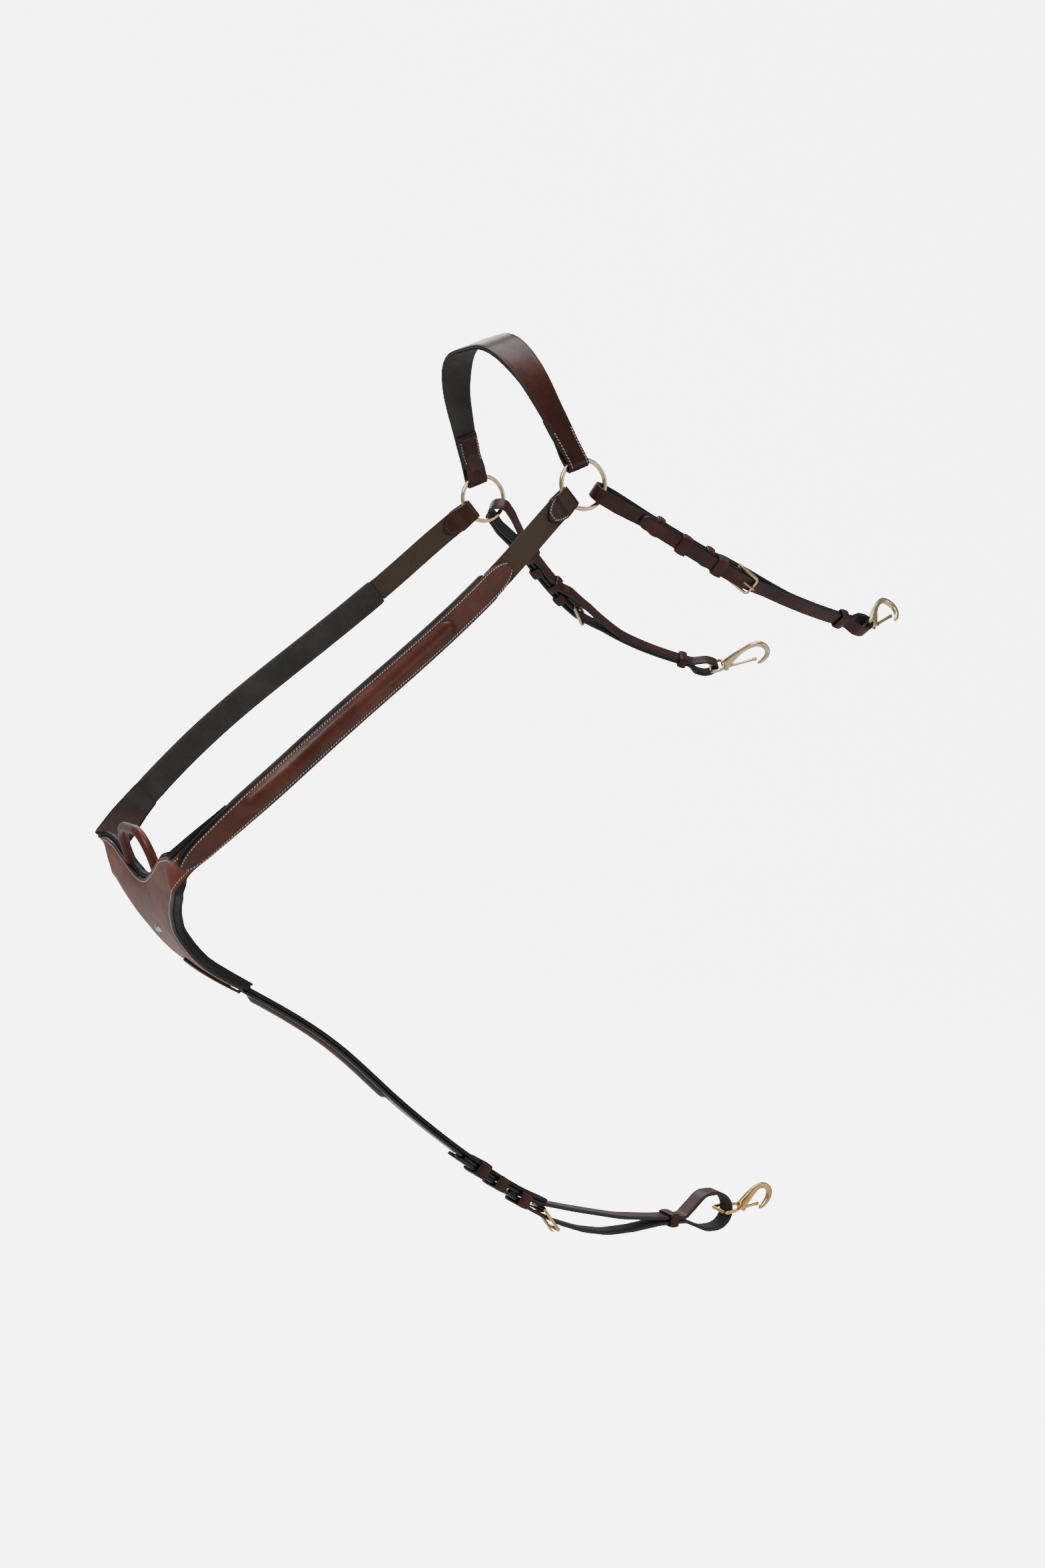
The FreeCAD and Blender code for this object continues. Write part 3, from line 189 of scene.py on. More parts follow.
M_OUTER = leather("outer_leather", (0.046, 0.0115, 0.0066), (0.082, 0.0205, 0.0110), (0.130, 0.036, 0.018),
                  (0.26, 0.38), coat=0.20)
M_WITHER = leather("wither_leather", (0.024, 0.0062, 0.0040), (0.042, 0.0105, 0.0062), (0.072, 0.020, 0.0110),
                   (0.24, 0.36), coat=0.20)
M_PLATE = leather("plate_leather", (0.098, 0.0200, 0.0088), (0.168, 0.0360, 0.0150), (0.250, 0.060, 0.026),
                  (0.28, 0.40), coat=0.16)
M_LOOP = leather("loop_leather", (0.052, 0.0125, 0.0070), (0.092, 0.0220, 0.0115), (0.140, 0.036, 0.018),
                 (0.26, 0.38), coat=0.2)
M_STRAP = leather("strap_leather", (0.024, 0.0064, 0.0042), (0.042, 0.0105, 0.0064), (0.072, 0.020, 0.0115),
                  (0.24, 0.36), coat=0.20)
M_LINING = leather("lining_leather", (0.0250, 0.0222, 0.0212), (0.0370, 0.0325, 0.0308),
                   (0.0550, 0.0480, 0.0450), (0.42, 0.56), 700.0, 0.00010, 0.05)
M_BACKING = leather("backing_leather", (0.026, 0.0140, 0.0108), (0.040, 0.0215, 0.0165),
                    (0.060, 0.0340, 0.0260), (0.40, 0.54), 800.0, 0.00008, 0.06)
M_PAD_EDGE = leather("pad_edge_leather", (0.0100, 0.0090, 0.0088), (0.0150, 0.0134, 0.0130),
                     (0.0230, 0.0205, 0.0195), (0.40, 0.54), 700.0, 0.00010, 0.05)
M_EDGE = edge_paint("edge_paint")
M_FLESH = flesh_side("strap_back", (0.006, 0.005, 0.005), (0.020, 0.015, 0.014))
M_THREAD = thread("white_thread", (0.80, 0.78, 0.72), (0.52, 0.49, 0.43))
M_BROWN_THREAD = thread("brown_thread", (0.16, 0.085, 0.05), (0.07, 0.036, 0.02))
M_ELASTIC = woven_elastic("woven_elastic")
M_RING = metal("ring_metal", (0.72, 0.53, 0.27), (0.95, 0.78, 0.47), (0.12, 0.24), 0.00002)
M_BUCKLE = metal("buckle_metal", (0.56, 0.41, 0.20), (0.84, 0.68, 0.42))
M_SNAP = metal("snap_metal", (0.54, 0.40, 0.20), (0.84, 0.69, 0.43), (0.18, 0.34), 0.00008)
M_GIRTH_METAL = metal("girth_metal", (0.52, 0.31, 0.10), (0.86, 0.57, 0.24), (0.18, 0.34), 0.00008)
M_STUD = metal("stud_metal", (0.42, 0.42, 0.43), (0.80, 0.80, 0.80), (0.10, 0.22), 0.00002)
M_STEEL = metal("pin_metal", (0.30, 0.29, 0.27), (0.55, 0.54, 0.51), (0.25, 0.4), 0.00002)
OUTER_MATERIALS = (M_OUTER, M_EDGE, M_FLESH)
WITHER_MATERIALS = (M_WITHER, M_EDGE, M_FLESH)
STRAP_MATERIALS = (M_STRAP, M_EDGE, M_FLESH)


# ---------------------------------------------------------------- meshes
def piece(name, points, faces, materials, body, replaced=(), tags=None, uvs=None):
    """One finished object: mesh in millimetres, riding on a body and standing for its CAD nodes."""
    mesh = bpy.data.meshes.new(name)
    mesh.from_pydata([tuple(c * MM for c in p) for p in points], [], faces)
    for material in materials:
        mesh.materials.append(material)
    if tags:
        mesh.polygons.foreach_set("material_index", tags)
    if uvs:
        layer = mesh.uv_layers.new(name="UVMap")
        layer.data.foreach_set("uv", [c for polygon in mesh.polygons for i in polygon.vertices
                                      for c in (uvs[i][0] * MM, uvs[i][1] * MM)])
    work = bmesh.new()
    work.from_mesh(mesh)
    bmesh.ops.recalc_face_normals(work, faces=work.faces)
    work.to_mesh(mesh)
    work.free()
    mesh.polygons.foreach_set("use_smooth", [True] * len(mesh.polygons))
    obj = bpy.data.objects.new(name, mesh)
    bpy.context.scene.collection.objects.link(obj)
    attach(obj, body)
    if replaced:
        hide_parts(*replaced)
    return obj


class Solid:
    """Rows of points swept into closed surfaces; several can go into one piece."""

    def __init__(self):
        self.points, self.faces, self.tags, self.uvs = [], [], [], []

    def sweep(self, rows, tags=None, distances=None, closed=False, cap=EDGE):
        """rows: equal rings of points, in order. tags: one material per ring segment."""
        first, count = len(self.points), len(rows[0])
        tags = tags or [TOP] * count
        distances = distances or list(range(len(rows)))
        for row, distance in zip(rows, distances):
            girth = 0.0
            for i, point in enumerate(row):
                if i:
                    girth += (point - row[i - 1]).length
                self.points.append(point)
                self.uvs.append((distance, girth))
        spans = len(rows) if closed else len(rows) - 1
        for r in range(spans):
            a, b = first + r * count, first + (r + 1) % len(rows) * count
            for i in range(count):
                j = (i + 1) % count
                self.faces.append((a + i, a + j, b + j, b + i))
                self.tags.append(tags[i])
        if not closed:
            self.faces.append(tuple(first + i for i in reversed(range(count))))
            self.faces.append(tuple(first + (len(rows) - 1) * count + i for i in range(count)))
            self.tags += [cap, cap]
        return self

    def add(self, name, materials, body, slot, *replaced):
        return piece(name, self.points, self.faces, materials, body, replaced, self.tags, self.uvs)


def between(table, at):
    """Value at a place in a table of (place, value) pairs, straight from one pair to the next."""
    return float(np.interp(at, [place for place, _ in table], [value for _, value in table]))


def circle(count):
    return (2 * math.pi * k / count for k in range(count))


def rounded(value, power):
    """The value with its size raised to a power: turns a circle's outline into a rounded square's."""
    return math.copysign(abs(value) ** power, value)


def smooth_step(value):
    value = min(max(value, 0.0), 1.0)
    return value * value * (3 - 2 * value)


def rounded_end(distance, half_width, reach, least=0.12):
    if distance >= reach:
        return half_width
    t = max(distance, 0.0) / reach
    return half_width * (least + (1 - least) * math.sqrt(1 - (1 - t) ** 2))


TOP_COUNT, SIDE_COUNT, UNDER_COUNT = 31, 5, 7
RAISED, RAISED_HALF, RAISED_EASE = 4.0, 8.4, 9.0     # ridge down the middle of a strap with a core


def strap_section(w, low, high, ridge=0.0, ridge_half=RAISED_HALF, crease=0.22, crease_in=2.1,
                  edge_round=0.75):
    """Cross-section (u, v) of a strap: creased near its edges, burnished round at its sides."""
    half = (high - low) / 2
    mid = (high + low) / 2
    r = min(edge_round, w * 0.45)
    points = []
    for i in range(TOP_COUNT):
        u = (w - r) * (2 * i / (TOP_COUNT - 1) - 1)
        v = high
        if ridge > 0.01:
            reach = min(ridge_half, w * 0.76)
            if abs(u) < reach:
                v += ridge * (1 - (u / reach) ** 2) ** 0.8
        if w > 4:
            v -= crease * math.exp(-((abs(u) - (w - crease_in)) / 0.55) ** 2)
        points.append((u, v))
    for i in range(1, SIDE_COUNT + 1):
        angle = math.pi / 2 - math.pi * i / (SIDE_COUNT + 1)
        points.append((w - r + r * math.cos(angle), mid + half * math.sin(angle)))
    for i in range(UNDER_COUNT):
        points.append(((w - r) * (1 - 2 * i / (UNDER_COUNT - 1)), low))
    for i in range(1, SIDE_COUNT + 1):
        angle = -math.pi / 2 - math.pi * i / (SIDE_COUNT + 1)
        points.append((-(w - r) + r * math.cos(angle), mid + half * math.sin(angle)))
    return points


SECTION_TAGS = ([TOP] * (TOP_COUNT - 1) + [EDGE] * (SIDE_COUNT + 1) + [UNDER] * (UNDER_COUNT - 1)
                + [EDGE] * (SIDE_COUNT + 1))


def pillow_section(w, low, high, power=3.0, count=28):
    """Cross-section of a padded strap: a soft rounded rectangle."""
    mid, half = (low + high) / 2, (high - low) / 2
    points = []
    for angle in circle(count):
        points.append((w * rounded(math.cos(angle), 2 / power),
                       mid + half * rounded(math.sin(angle), 2 / power)))
    return points


class Stitching:
    """Rows of sewn stitches, collected for one body."""

    def __init__(self):
        self.points, self.faces = [], []

    def stitch(self, centre, along, normal, length, radius):
        across = normal.cross(along).normalized()
        first, sides = len(self.points), 6
        profile = ((-0.5, 0.12), (-0.38, 0.8), (0.0, 1.0), (0.38, 0.8), (0.5, 0.12))
        for t, grow in profile:
            sink = -radius * 0.9 * abs(2 * t) ** 3
            for k in range(sides):
                angle = 2 * math.pi * k / sides
                self.points.append(centre + along * (t * length) + across * (radius * grow * math.cos(angle))
                                   + normal * (sink + radius * grow * math.sin(angle) * 0.8))
        for r in range(len(profile) - 1):
            a, b = first + r * sides, first + (r + 1) * sides
            for k in range(sides):
                m = (k + 1) % sides
                self.faces.append((a + k, a + m, b + m, b + k))
        last = first + (len(profile) - 1) * sides
        self.faces.append(tuple(first + k for k in reversed(range(sides))))
        self.faces.append(tuple(last + k for k in range(sides)))

    def row(self, line, normals, pitch=3.0, slant=16.0, length=2.5, radius=0.36, lift=0.12):
        """Slanted stitches along a line on the leather."""
        steps = [(b - a).length for a, b in zip(line, line[1:])]
        walked, total = np.concatenate([[0], np.cumsum(steps)]), sum(steps)
        count = max(1, int(total / pitch))
        flat = np.array([tuple(p) for p in line])
        flat_normals = np.array([tuple(n) for n in normals])

        def at(table, d):
            return V([np.interp(d, walked, table[:, k]) for k in range(3)])
        for i in range(count):
            d = (i + 0.5) * total / count
            along = (at(flat, d + 0.4) - at(flat, d - 0.4)).normalized()
            normal = at(flat_normals, d).normalized()
            turn = math.radians(slant + random.uniform(-3, 3))
            slanted = (Matrix.Rotation(turn, 3, normal) @ along).normalized()
            self.stitch(at(flat, d) + normal * lift, slanted, normal, length * random.uniform(0.94, 1.05),
                        radius)

    def add(self, name, material, body, slot):
        if self.points:
            piece(name, self.points, self.faces, (material,), body)


STITCHES = {}


def stitching(body, colour="white"):
    return STITCHES.setdefault((body, colour), Stitching())


# ---------------------------------------------------------------- routes
def spline_table(points, count=900):
    """Natural cubic spline through points, evenly sampled by length: (distances, positions)."""
    p = np.array([tuple(q) for q in points], float)
    t = np.concatenate([[0], np.cumsum(np.linalg.norm(np.diff(p, axis=0), axis=1))])
    n, h = len(p), np.diff(t)
    a, r = np.eye(n), np.zeros_like(p)
    for i in range(1, n - 1):
        a[i, i - 1], a[i, i], a[i, i + 1] = h[i - 1], 2 * (h[i - 1] + h[i]), h[i]
        r[i] = 6 * ((p[i + 1] - p[i]) / h[i] - (p[i] - p[i - 1]) / h[i - 1])
    m = np.linalg.solve(a, r)
    fine = np.linspace(0, t[-1], count)
    k = np.clip(np.searchsorted(t, fine, side="right") - 1, 0, n - 2)
    x0, x1, hk = (t[k + 1] - fine)[:, None], (fine - t[k])[:, None], h[k][:, None]
    out = (m[k] * x0 ** 3 + m[k + 1] * x1 ** 3) / (6 * hk) + (p[k] / hk - m[k] * hk / 6) * x0 \
        + (p[k + 1] / hk - m[k + 1] * hk / 6) * x1
    s = np.concatenate([[0], np.cumsum(np.linalg.norm(np.diff(out, axis=0), axis=1))])
    return s, out


class Route:
    """A smooth line in space with a strap's across and outward directions along it."""

    def __init__(self, points, across, outward, twist=0.0, twist_from=0.0):
        self.s, self.table = spline_table(points)
        self.length = float(self.s[-1])
        self.across, self.outward, self.twist, self.twist_from = across, outward, twist, twist_from

    def at(self, d):
        return V([float(np.interp(d, self.s, self.table[:, k])) for k in range(3)])

    def frame(self, d):
        d = min(max(d, 0.0), self.length)
        tangent = (self.at(min(d + 1, self.length)) - self.at(max(d - 1, 0))).normalized()
        across = (self.across - tangent * self.across.dot(tangent)).normalized()
        turn = self.twist * smooth_step((d - self.twist_from) / max(self.length - self.twist_from, 1))
        if turn:
            across = Matrix.Rotation(math.radians(turn), 3, tangent) @ across
        normal = tangent.cross(across).normalized()
        if normal.dot(self.outward) < 0:
            normal = -normal
        return self.at(d), tangent, across, normal

    def rows(self, distances, section):
        out = []
        for d in distances:
            point, _, across, normal = self.frame(d)
            out.append([point + across * u + normal * v for u, v in section(d)])
        return out

    def seams(self, stitches, distances, offset, level, facing, **look):
        """Stitch along both edges, offset to each side at a level; facing is the side the thread shows on."""
        for edge in (-1, 1):
            line, normals = [], []
            for d in distances:
                point, _, across, normal = self.frame(d)
                line.append(point + across * (edge * offset(d)) + normal * level(d))
                normals.append(normal * facing)
            stitches.row(line, normals, **look)


def raised(d, start, stop):
    """Height of the ridge down a strap's middle, easing in and out at its ends."""
    return RAISED * smooth_step((d - start) / RAISED_EASE) * smooth_step((stop - d) / RAISED_EASE)


def raised_half(near):
    """Half width of that ridge, at a distance from its nearer end."""
    return RAISED_HALF * (0.35 + 0.65 * smooth_step(near / 12))


def spread(start, stop, step, ends=(0.3, 0.9, 1.8, 3, 4.6, 6.6, 9)):
    """Distances along a strap, closer together at its two ends."""
    inner = np.arange(start + 12, stop - 12, step)
    return [start] + [start + e for e in ends] + list(inner) + [stop - e for e in reversed(ends)] + [stop]


def corner_path(vertices):
    """Straight runs and arcs along a flat path of (x, y, corner radius)."""
    points = [V((x, y)) for x, y, _ in vertices]
    pieces, start = [], points[0]
    for before, corner, after, vertex in zip(points, points[1:], points[2:], vertices[1:]):
        into, out = (corner - before).normalized(), (after - corner).normalized()
        turn = math.atan2(into.x * out.y - into.y * out.x, into.dot(out))
        if abs(turn) < 1e-4 or vertex[2] == 0:
            continue
        reach = vertex[2] * math.tan(abs(turn) / 2)
        arc_start = corner - into * reach
        side = V((-into.y, into.x)) * math.copysign(vertex[2], turn)
        pieces.append(("run", start, arc_start))
        pieces.append(("arc", arc_start + side, vertex[2], math.atan2(-side.y, -side.x), turn))
        start = corner + out * reach
    pieces.append(("run", start, points[-1]))
    return pieces


def sampled(vertices, step=5.0, arc_step=9.0):
    """Stations (x, y, tangent angle, distance) along a flat path of runs and arcs."""
    stations, walked = [], 0.0
    for part in corner_path(vertices):
        if part[0] == "run":
            _, a, b = part
            length = (b - a).length
            if length < 0.05:
                continue
            angle = math.atan2(b.y - a.y, b.x - a.x)
            count = max(1, round(length / step))
            for i in range(count + 1):
                point = a + (b - a) * (i / count)
                stations.append((point.x, point.y, angle, walked + length * i / count))
            walked += length
        else:
            _, centre, radius, first, turn = part
            count = max(2, round(math.degrees(abs(turn)) / arc_step))
            for i in range(1, count):
                angle = first + turn * i / count
                stations.append((centre.x + radius * math.cos(angle), centre.y + radius * math.sin(angle),
                                 angle + math.copysign(math.pi / 2, turn),
                                 walked + radius * abs(turn) * i / count))
            walked += radius * abs(turn)
    return stations


def fine_tip(stations):
    """The stations with the last ones drawn together, so that the strap's end can be rounded."""
    x, y, angle, total = stations[-1]
    return [s for s in stations if s[3] < total - 12] + [
        (x - math.cos(angle) * back, y - math.sin(angle) * back, angle, total - back)
        for back in (11, 9, 7, 5, 3.4, 2, 1, 0.35, 0)]


def axes(origin, x_dir, y_dir):
    """Matrix of a local frame whose X and Y axes are the two directions, made square."""
    ex = x_dir.normalized()
    ez = ex.cross(y_dir).normalized()
    ey = ez.cross(ex)
    return Matrix(((ex.x, ey.x, ez.x, origin.x), (ex.y, ey.y, ez.y, origin.y), (ex.z, ey.z, ez.z, origin.z),
                   (0, 0, 0, 1)))


def flat_rows(stations, section, place):
    """Rings along a flat path: place(x, y, across) gives the point, section(station) its outline."""
    rows = []
    for station in stations:
        x, y, angle, _ = station
        m = (-math.sin(angle), math.cos(angle))
        rows.append([place(x + m[0] * v, y + m[1] * v, u) for u, v in section(station)])
    return rows


def tube_rows(line, radius, count=14):
    """Rings of a round rod along a 3-D line; radius may be one number or one per point."""
    rows, side = [], None
    for i, point in enumerate(line):
        ahead = line[min(i + 1, len(line) - 1)] - line[max(i - 1, 0)]
        ahead.normalize()
        if side is None:
            side = ahead.orthogonal().normalized()
        side = (side - ahead * side.dot(ahead)).normalized()
        other = ahead.cross(side)
        r = radius[i] if isinstance(radius, (list, tuple)) else radius
        rows.append([point + side * (r * math.cos(2 * math.pi * k / count))
                     + other * (r * math.sin(2 * math.pi * k / count)) for k in range(count)])
    return rows


# ---------------------------------------------------------------- rings and wither strap
RING_BACK, RING_SPAN, RING_RISE, RING_RADIUS, RING_WIRE = 367.0, 110.0, 397.0, 22.75, 2.25
RING_CENTRE = {side: V((RING_BACK, sign * RING_SPAN, RING_RISE)) for side, sign in SIDES.items()}


def make_ring(side):
    rows = []
    for angle in circle(120):
        out = V((math.cos(angle), 0, math.sin(angle)))
        middle = RING_CENTRE[side] + out * RING_RADIUS
        rows.append([middle + out * (RING_WIRE * math.cos(a)) + Y_AXIS * (RING_WIRE * math.sin(a))
                     for a in circle(20)])
    Solid().sweep(rows, closed=True).add(side + "_ring_wire", (M_RING,), side + "_ring", "ring_brass",
                                         side + "_ring")


CROWN_LEAN, LEG_LEAN = math.radians(22), math.radians(17.5)
WITHER_LEATHER, WITHER_PAD = 3.0, 2.2
WIRE_BOW, WIRE_GAP = 2.8, 0.95
TURNED_BACK, TURNED_BACK_HALF = 38, 11.2    # the strap's end that is sewn back inside each leg
WHITE_FROM, BROWN_FROM = 60, 98  # walked from an end: white stitches run between them, brown ones beyond
WITHER_MIDDLE = V((RING_BACK, 0, RING_RISE))
WITHER_UP = V((-math.sin(CROWN_LEAN), 0, math.cos(CROWN_LEAN)))
WITHER_ACROSS = Y_AXIS.cross(WITHER_UP).normalized()
WITHER_WIDTH = ((0, 10.5), (40, 10.5), (78, 12.5), (105, 14.5), (130, 17.0), (150, 18.5), (170, 19.0))


def wither_place(x, y, u):
    return WITHER_MIDDLE + Y_AXIS * x + WITHER_UP * y + WITHER_ACROSS * u


def wither_half_width(y):
    return between(WITHER_WIDTH, y)


def make_wither():
    fold = RING_WIRE + WIRE_GAP + WITHER_LEATHER / 2
    inner = fold - WITHER_LEATHER - WITHER_PAD
    wire = V((RING_SPAN, RING_RADIUS))
    along = V((-math.sin(LEG_LEAN), math.cos(LEG_LEAN)))
    across = V((math.cos(LEG_LEAN), math.sin(LEG_LEAN)))

    def at(run, out):
        point = wire + along * run + across * out
        return point.x, point.y
    half = [(*at(46, inner), 0), (*at(24, inner), 8), (*at(10, -fold), 8),
            (*at(-fold - WIRE_BOW, -fold), fold - 0.01), (*at(-fold - WIRE_BOW, fold), fold - 0.01),
            (*at(36, fold), 60), (86, 110, 80), (50, 150, 66)]
    path = half + [(-x, y, r) for x, y, r in reversed(half)]
    stations = sampled(path)
    total = stations[-1][3]
    h = WITHER_LEATHER / 2

    def section(station):
        w = wither_half_width(station[1])
        if min(station[3], total - station[3]) < TURNED_BACK:
            w = min(w, TURNED_BACK_HALF)
        # The path runs with its left side inwards, so the outer face is at -h.
        return [(u, -v) for u, v in strap_section(w, -h, h, crease=0.3, crease_in=2.4)]
    solid = Solid().sweep(flat_rows(stations, section, wither_place), SECTION_TAGS, [s[3] for s in stations])
    solid.add("wither_leather", (M_WITHER, M_EDGE, M_WITHER), "wither", "outer_leather", "wither_strap")
    # Lining, inside the arch between the turned-back ends.
    foot, knee = V(path[4][:2]), V(path[5][:2])
    first = foot + (knee - foot) * 0.42
    lining = sampled([(first.x, first.y, 0)] + path[5:-5] + [(-first.x, first.y, 0)])

    def lining_section(station):
        return pillow_section(wither_half_width(station[1]) - 0.3, h, h + WITHER_PAD, 5.0)
    Solid().sweep(flat_rows(lining, lining_section, wither_place), None, [s[3] for s in lining]).add(
        "wither_pad", (M_LINING, M_LINING), "wither", "lining_leather", "wither_lining")

    # White stitches hold the turned-back ends; thin brown ones run on along the arch's edges.
    def sew(chosen, turned, inset, colour, **look):
        for edge in (-1, 1):
            line, normals = [], []
            for x, y, angle, _ in chosen:
                m = (-math.sin(angle), math.cos(angle))
                w = min(wither_half_width(y), TURNED_BACK_HALF if turned else 99)
                line.append(wither_place(x - m[0] * (h - 0.1), y - m[1] * (h - 0.1), edge * (w - inset)))
                normals.append(-(Y_AXIS * m[0] + WITHER_UP * m[1]))
            stitching("wither", colour).row(line, normals, **look)
    for mine in (lambda s: s[3], lambda s: total - s[3]):
        sew([s for s in stations if 2 < mine(s) < TURNED_BACK - 4], True, 2.0, "white", radius=0.34)
        sew([s for s in stations if WHITE_FROM < mine(s) < BROWN_FROM], False, 2.2, "white", radius=0.34)
    sew([s for s in stations if BROWN_FROM < s[3] < total - BROWN_FROM], False, 2.0, "brown",
        pitch=2.6, length=1.9, radius=0.2)


# ---------------------------------------------------------------- shoulder straps
STRAP_SLOPE, STRAP_EDGE = V((-0.757, 0, -0.653)), V((-0.653, 0, 0.757))
SHOULDER_ROUTE = [(349.8, 110, 382.1), (331, 116.5, 366), (278, 132, 318), (171, 150, 231),
                  (102, 154, 177), (51, 150, 133), (6, 135, 91), (-24, 117, 59)]
TAB_END, ELASTIC_START, LEATHER_START, ELASTIC_END = 32, 12, 96, 122
RIDGE_START, RIDGE_END, ARM_START, STRAP_END = 176, 432, 438, 503
SHOULDER_HALF, LINING_HALF = 11.5, 13.5
SHOULDER_TWIST, TWIST_START = 26, 400       # degrees the strap turns from that distance to the plate


def shoulder_route(side):
    sign = SIDES[side]
    points = [V((x, sign * y, z)) for x, y, z in SHOULDER_ROUTE]
    return Route(points, STRAP_EDGE, V((0, sign, 0)), SHOULDER_TWIST * sign, TWIST_START)


def make_tab(side):
    sign = SIDES[side]
    wire = shoulder_route(side).at(0)
    along = (STRAP_SLOPE + V((0, sign * 0.28, 0))).normalized()
    local = axes(wire, along, V((0, sign, 0)))
    thick = 2.5
    fold, leg = RING_WIRE + WIRE_GAP + thick / 2, 1.0 + thick / 2
    half = [(TAB_END, leg, 0), (16, leg, 8), (9, fold, 8), (-fold - WIRE_BOW, fold, fold - 0.01)]
    stations = sampled(half + [(x, -y, r) for x, y, r in reversed(half)], 1.6)
    outline = ((-8, 10), (6, 11), (14, 12), (22, 9.5), (28, 5.5), (TAB_END, 1.2))

    def half_width(x):
        return between(outline, x)

    def place(x, y, u):
        return local @ V((x, y, u))
    h = thick / 2
    # The path's right side is the outside of the fold.
    rows = flat_rows(stations, lambda s: [(u, -v) for u, v in strap_section(half_width(s[0]), -h, h)], place)
    # The path runs from the outer leg's tip round the wire, so its left side faces the elastic on both legs.
    Solid().sweep(rows, SECTION_TAGS, [s[3] for s in stations]).add(
        side + "_ring_tab", WITHER_MATERIALS, "yoke", "outer_leather", side + "_tab")
    for leg_sign in (1, -1):
        line, normals = [], []
        ring = [(12, 1), (15, 1)] + [(x, 1) for x in range(17, 30, 2)]
        ring = ring + [(x, -1) for x, _ in reversed(ring)]
        for x, edge in ring:
            inset = max(half_width(x) - 2.0, 0.4)
            y = leg_sign * (leg + h + (0.05 if x > 15 else 0.4))
            line.append(place(x - (1.6 if x > 27 else 0), y, edge * inset))
            normals.append(local.to_3x3() @ V((0, leg_sign, 0)))
        stitching("yoke", "white" if leg_sign > 0 else "brown").row(line, normals, pitch=2.9)


def make_shoulder(side):
    route = shoulder_route(side)

    def leather_half(d):
        return min(rounded_end(d - LEATHER_START, SHOULDER_HALF, 26),
                   rounded_end(STRAP_END - d, SHOULDER_HALF, 30))

    def leather_section(d):
        return strap_section(leather_half(d), 1.0, 4.0, raised(d, RIDGE_START, RIDGE_END),
                             raised_half(min(d - RIDGE_START, RIDGE_END - d)))

    steps = spread(ELASTIC_START, ELASTIC_END, 3)
    elastic = route.rows(steps, lambda d: strap_section(11.8, -0.9, 0.9, crease=0.0, edge_round=0.5))
    Solid().sweep(elastic, [TOP] * len(elastic[0]), steps, cap=TOP).add(
        side + "_elastic_webbing", (M_ELASTIC,), "yoke", "elastic", side + "_elastic")
    steps = spread(LEATHER_START, STRAP_END, 2.5)
    rows = route.rows(steps, leather_section)
    Solid().sweep(rows, SECTION_TAGS, steps).add(side + "_shoulder_leather", OUTER_MATERIALS, "yoke",
                                                 "outer_leather", side + "_shoulder_strap",
                                                 side + "_shoulder_core")

    def lining_low(d):
        return -4.5 + 3.5 * smooth_step((d - ARM_START + 12) / 24)

    def lining_half(d):
        return min(rounded_end(STRAP_END + 2 - d, LINING_HALF, 32),
                   rounded_end(d - ELASTIC_END, LINING_HALF, 5, 0.7))
    steps = spread(ELASTIC_END + 1, STRAP_END + 2, 3)
    rows = route.rows(steps, lambda d: pillow_section(lining_half(d), lining_low(d), 0.98, 4.5))
    Solid().sweep(rows, None, steps).add(side + "_shoulder_pad", (M_LINING, M_LINING), "yoke",
                                         "lining_leather", side + "_shoulder_lining")
    start, stop = LEATHER_START + 1.6, STRAP_END - 1.6
    route.seams(stitching("yoke"), np.linspace(start, stop, int((stop - start) / 2)),
                lambda d: max(leather_half(d) - 1.7, 0.3), lambda d: 3.85, 1)
    # The lining's own seams, seen on the inside.
    route.seams(stitching("yoke", "brown"), np.arange(ELASTIC_END + 5, ARM_START - 14, 3.0),
                lambda d: LINING_HALF - 2.6, lambda d: lining_low(d) + 0.05, -1, pitch=3.4, radius=0.28)


# ---------------------------------------------------------------- chest plate
# The profile is (x, z) of the outer face's middle line; edges are (y, upper z, lower z).
PLATE_PROFILE = [(-33, 74), (-31, 61), (-28.5, 49), (-26, 38), (-24, 28), (-19.5, 14), (-12, -2), (-2, -17),
                 (12, -33), (36, -52), (66, -70)]
PLATE_EDGES = [(0, 38, -69), (14, 39.2, -69), (20, 41, -51), (33, 45.2, -34), (44, 49.4, -12), (60, 56.5, 4),
               (75, 63, 17), (90, 66, 28), (103, 67.5, 37)]
PLATE_TAIL = -69.8                      # just above the profile's lower end
# Thickness of the plate along its arms, as a share of its middle's, by distance along the shoulder strap.
ARM_THICKNESS = {ARM_START: 0.3, 456: 0.4, 474: 0.52, 490: 0.64, 503: 0.76}
PROFILE_TABLE = spline_table([(x, 0, z) for x, z in PLATE_PROFILE])[1]


def profile_at(height):
    """Point and outward normal of the plate's outer face at a height."""
    z = PROFILE_TABLE[::-1, 2]
    x = PROFILE_TABLE[::-1, 0]
    point = V((float(np.interp(height, z, x)), 0, height))
    ahead = float(np.interp(height + 1, z, x)) - float(np.interp(height - 1, z, x))
    tangent = V((-ahead, 0, -2)).normalized()
    return point, V((tangent.z, 0, -tangent.x))


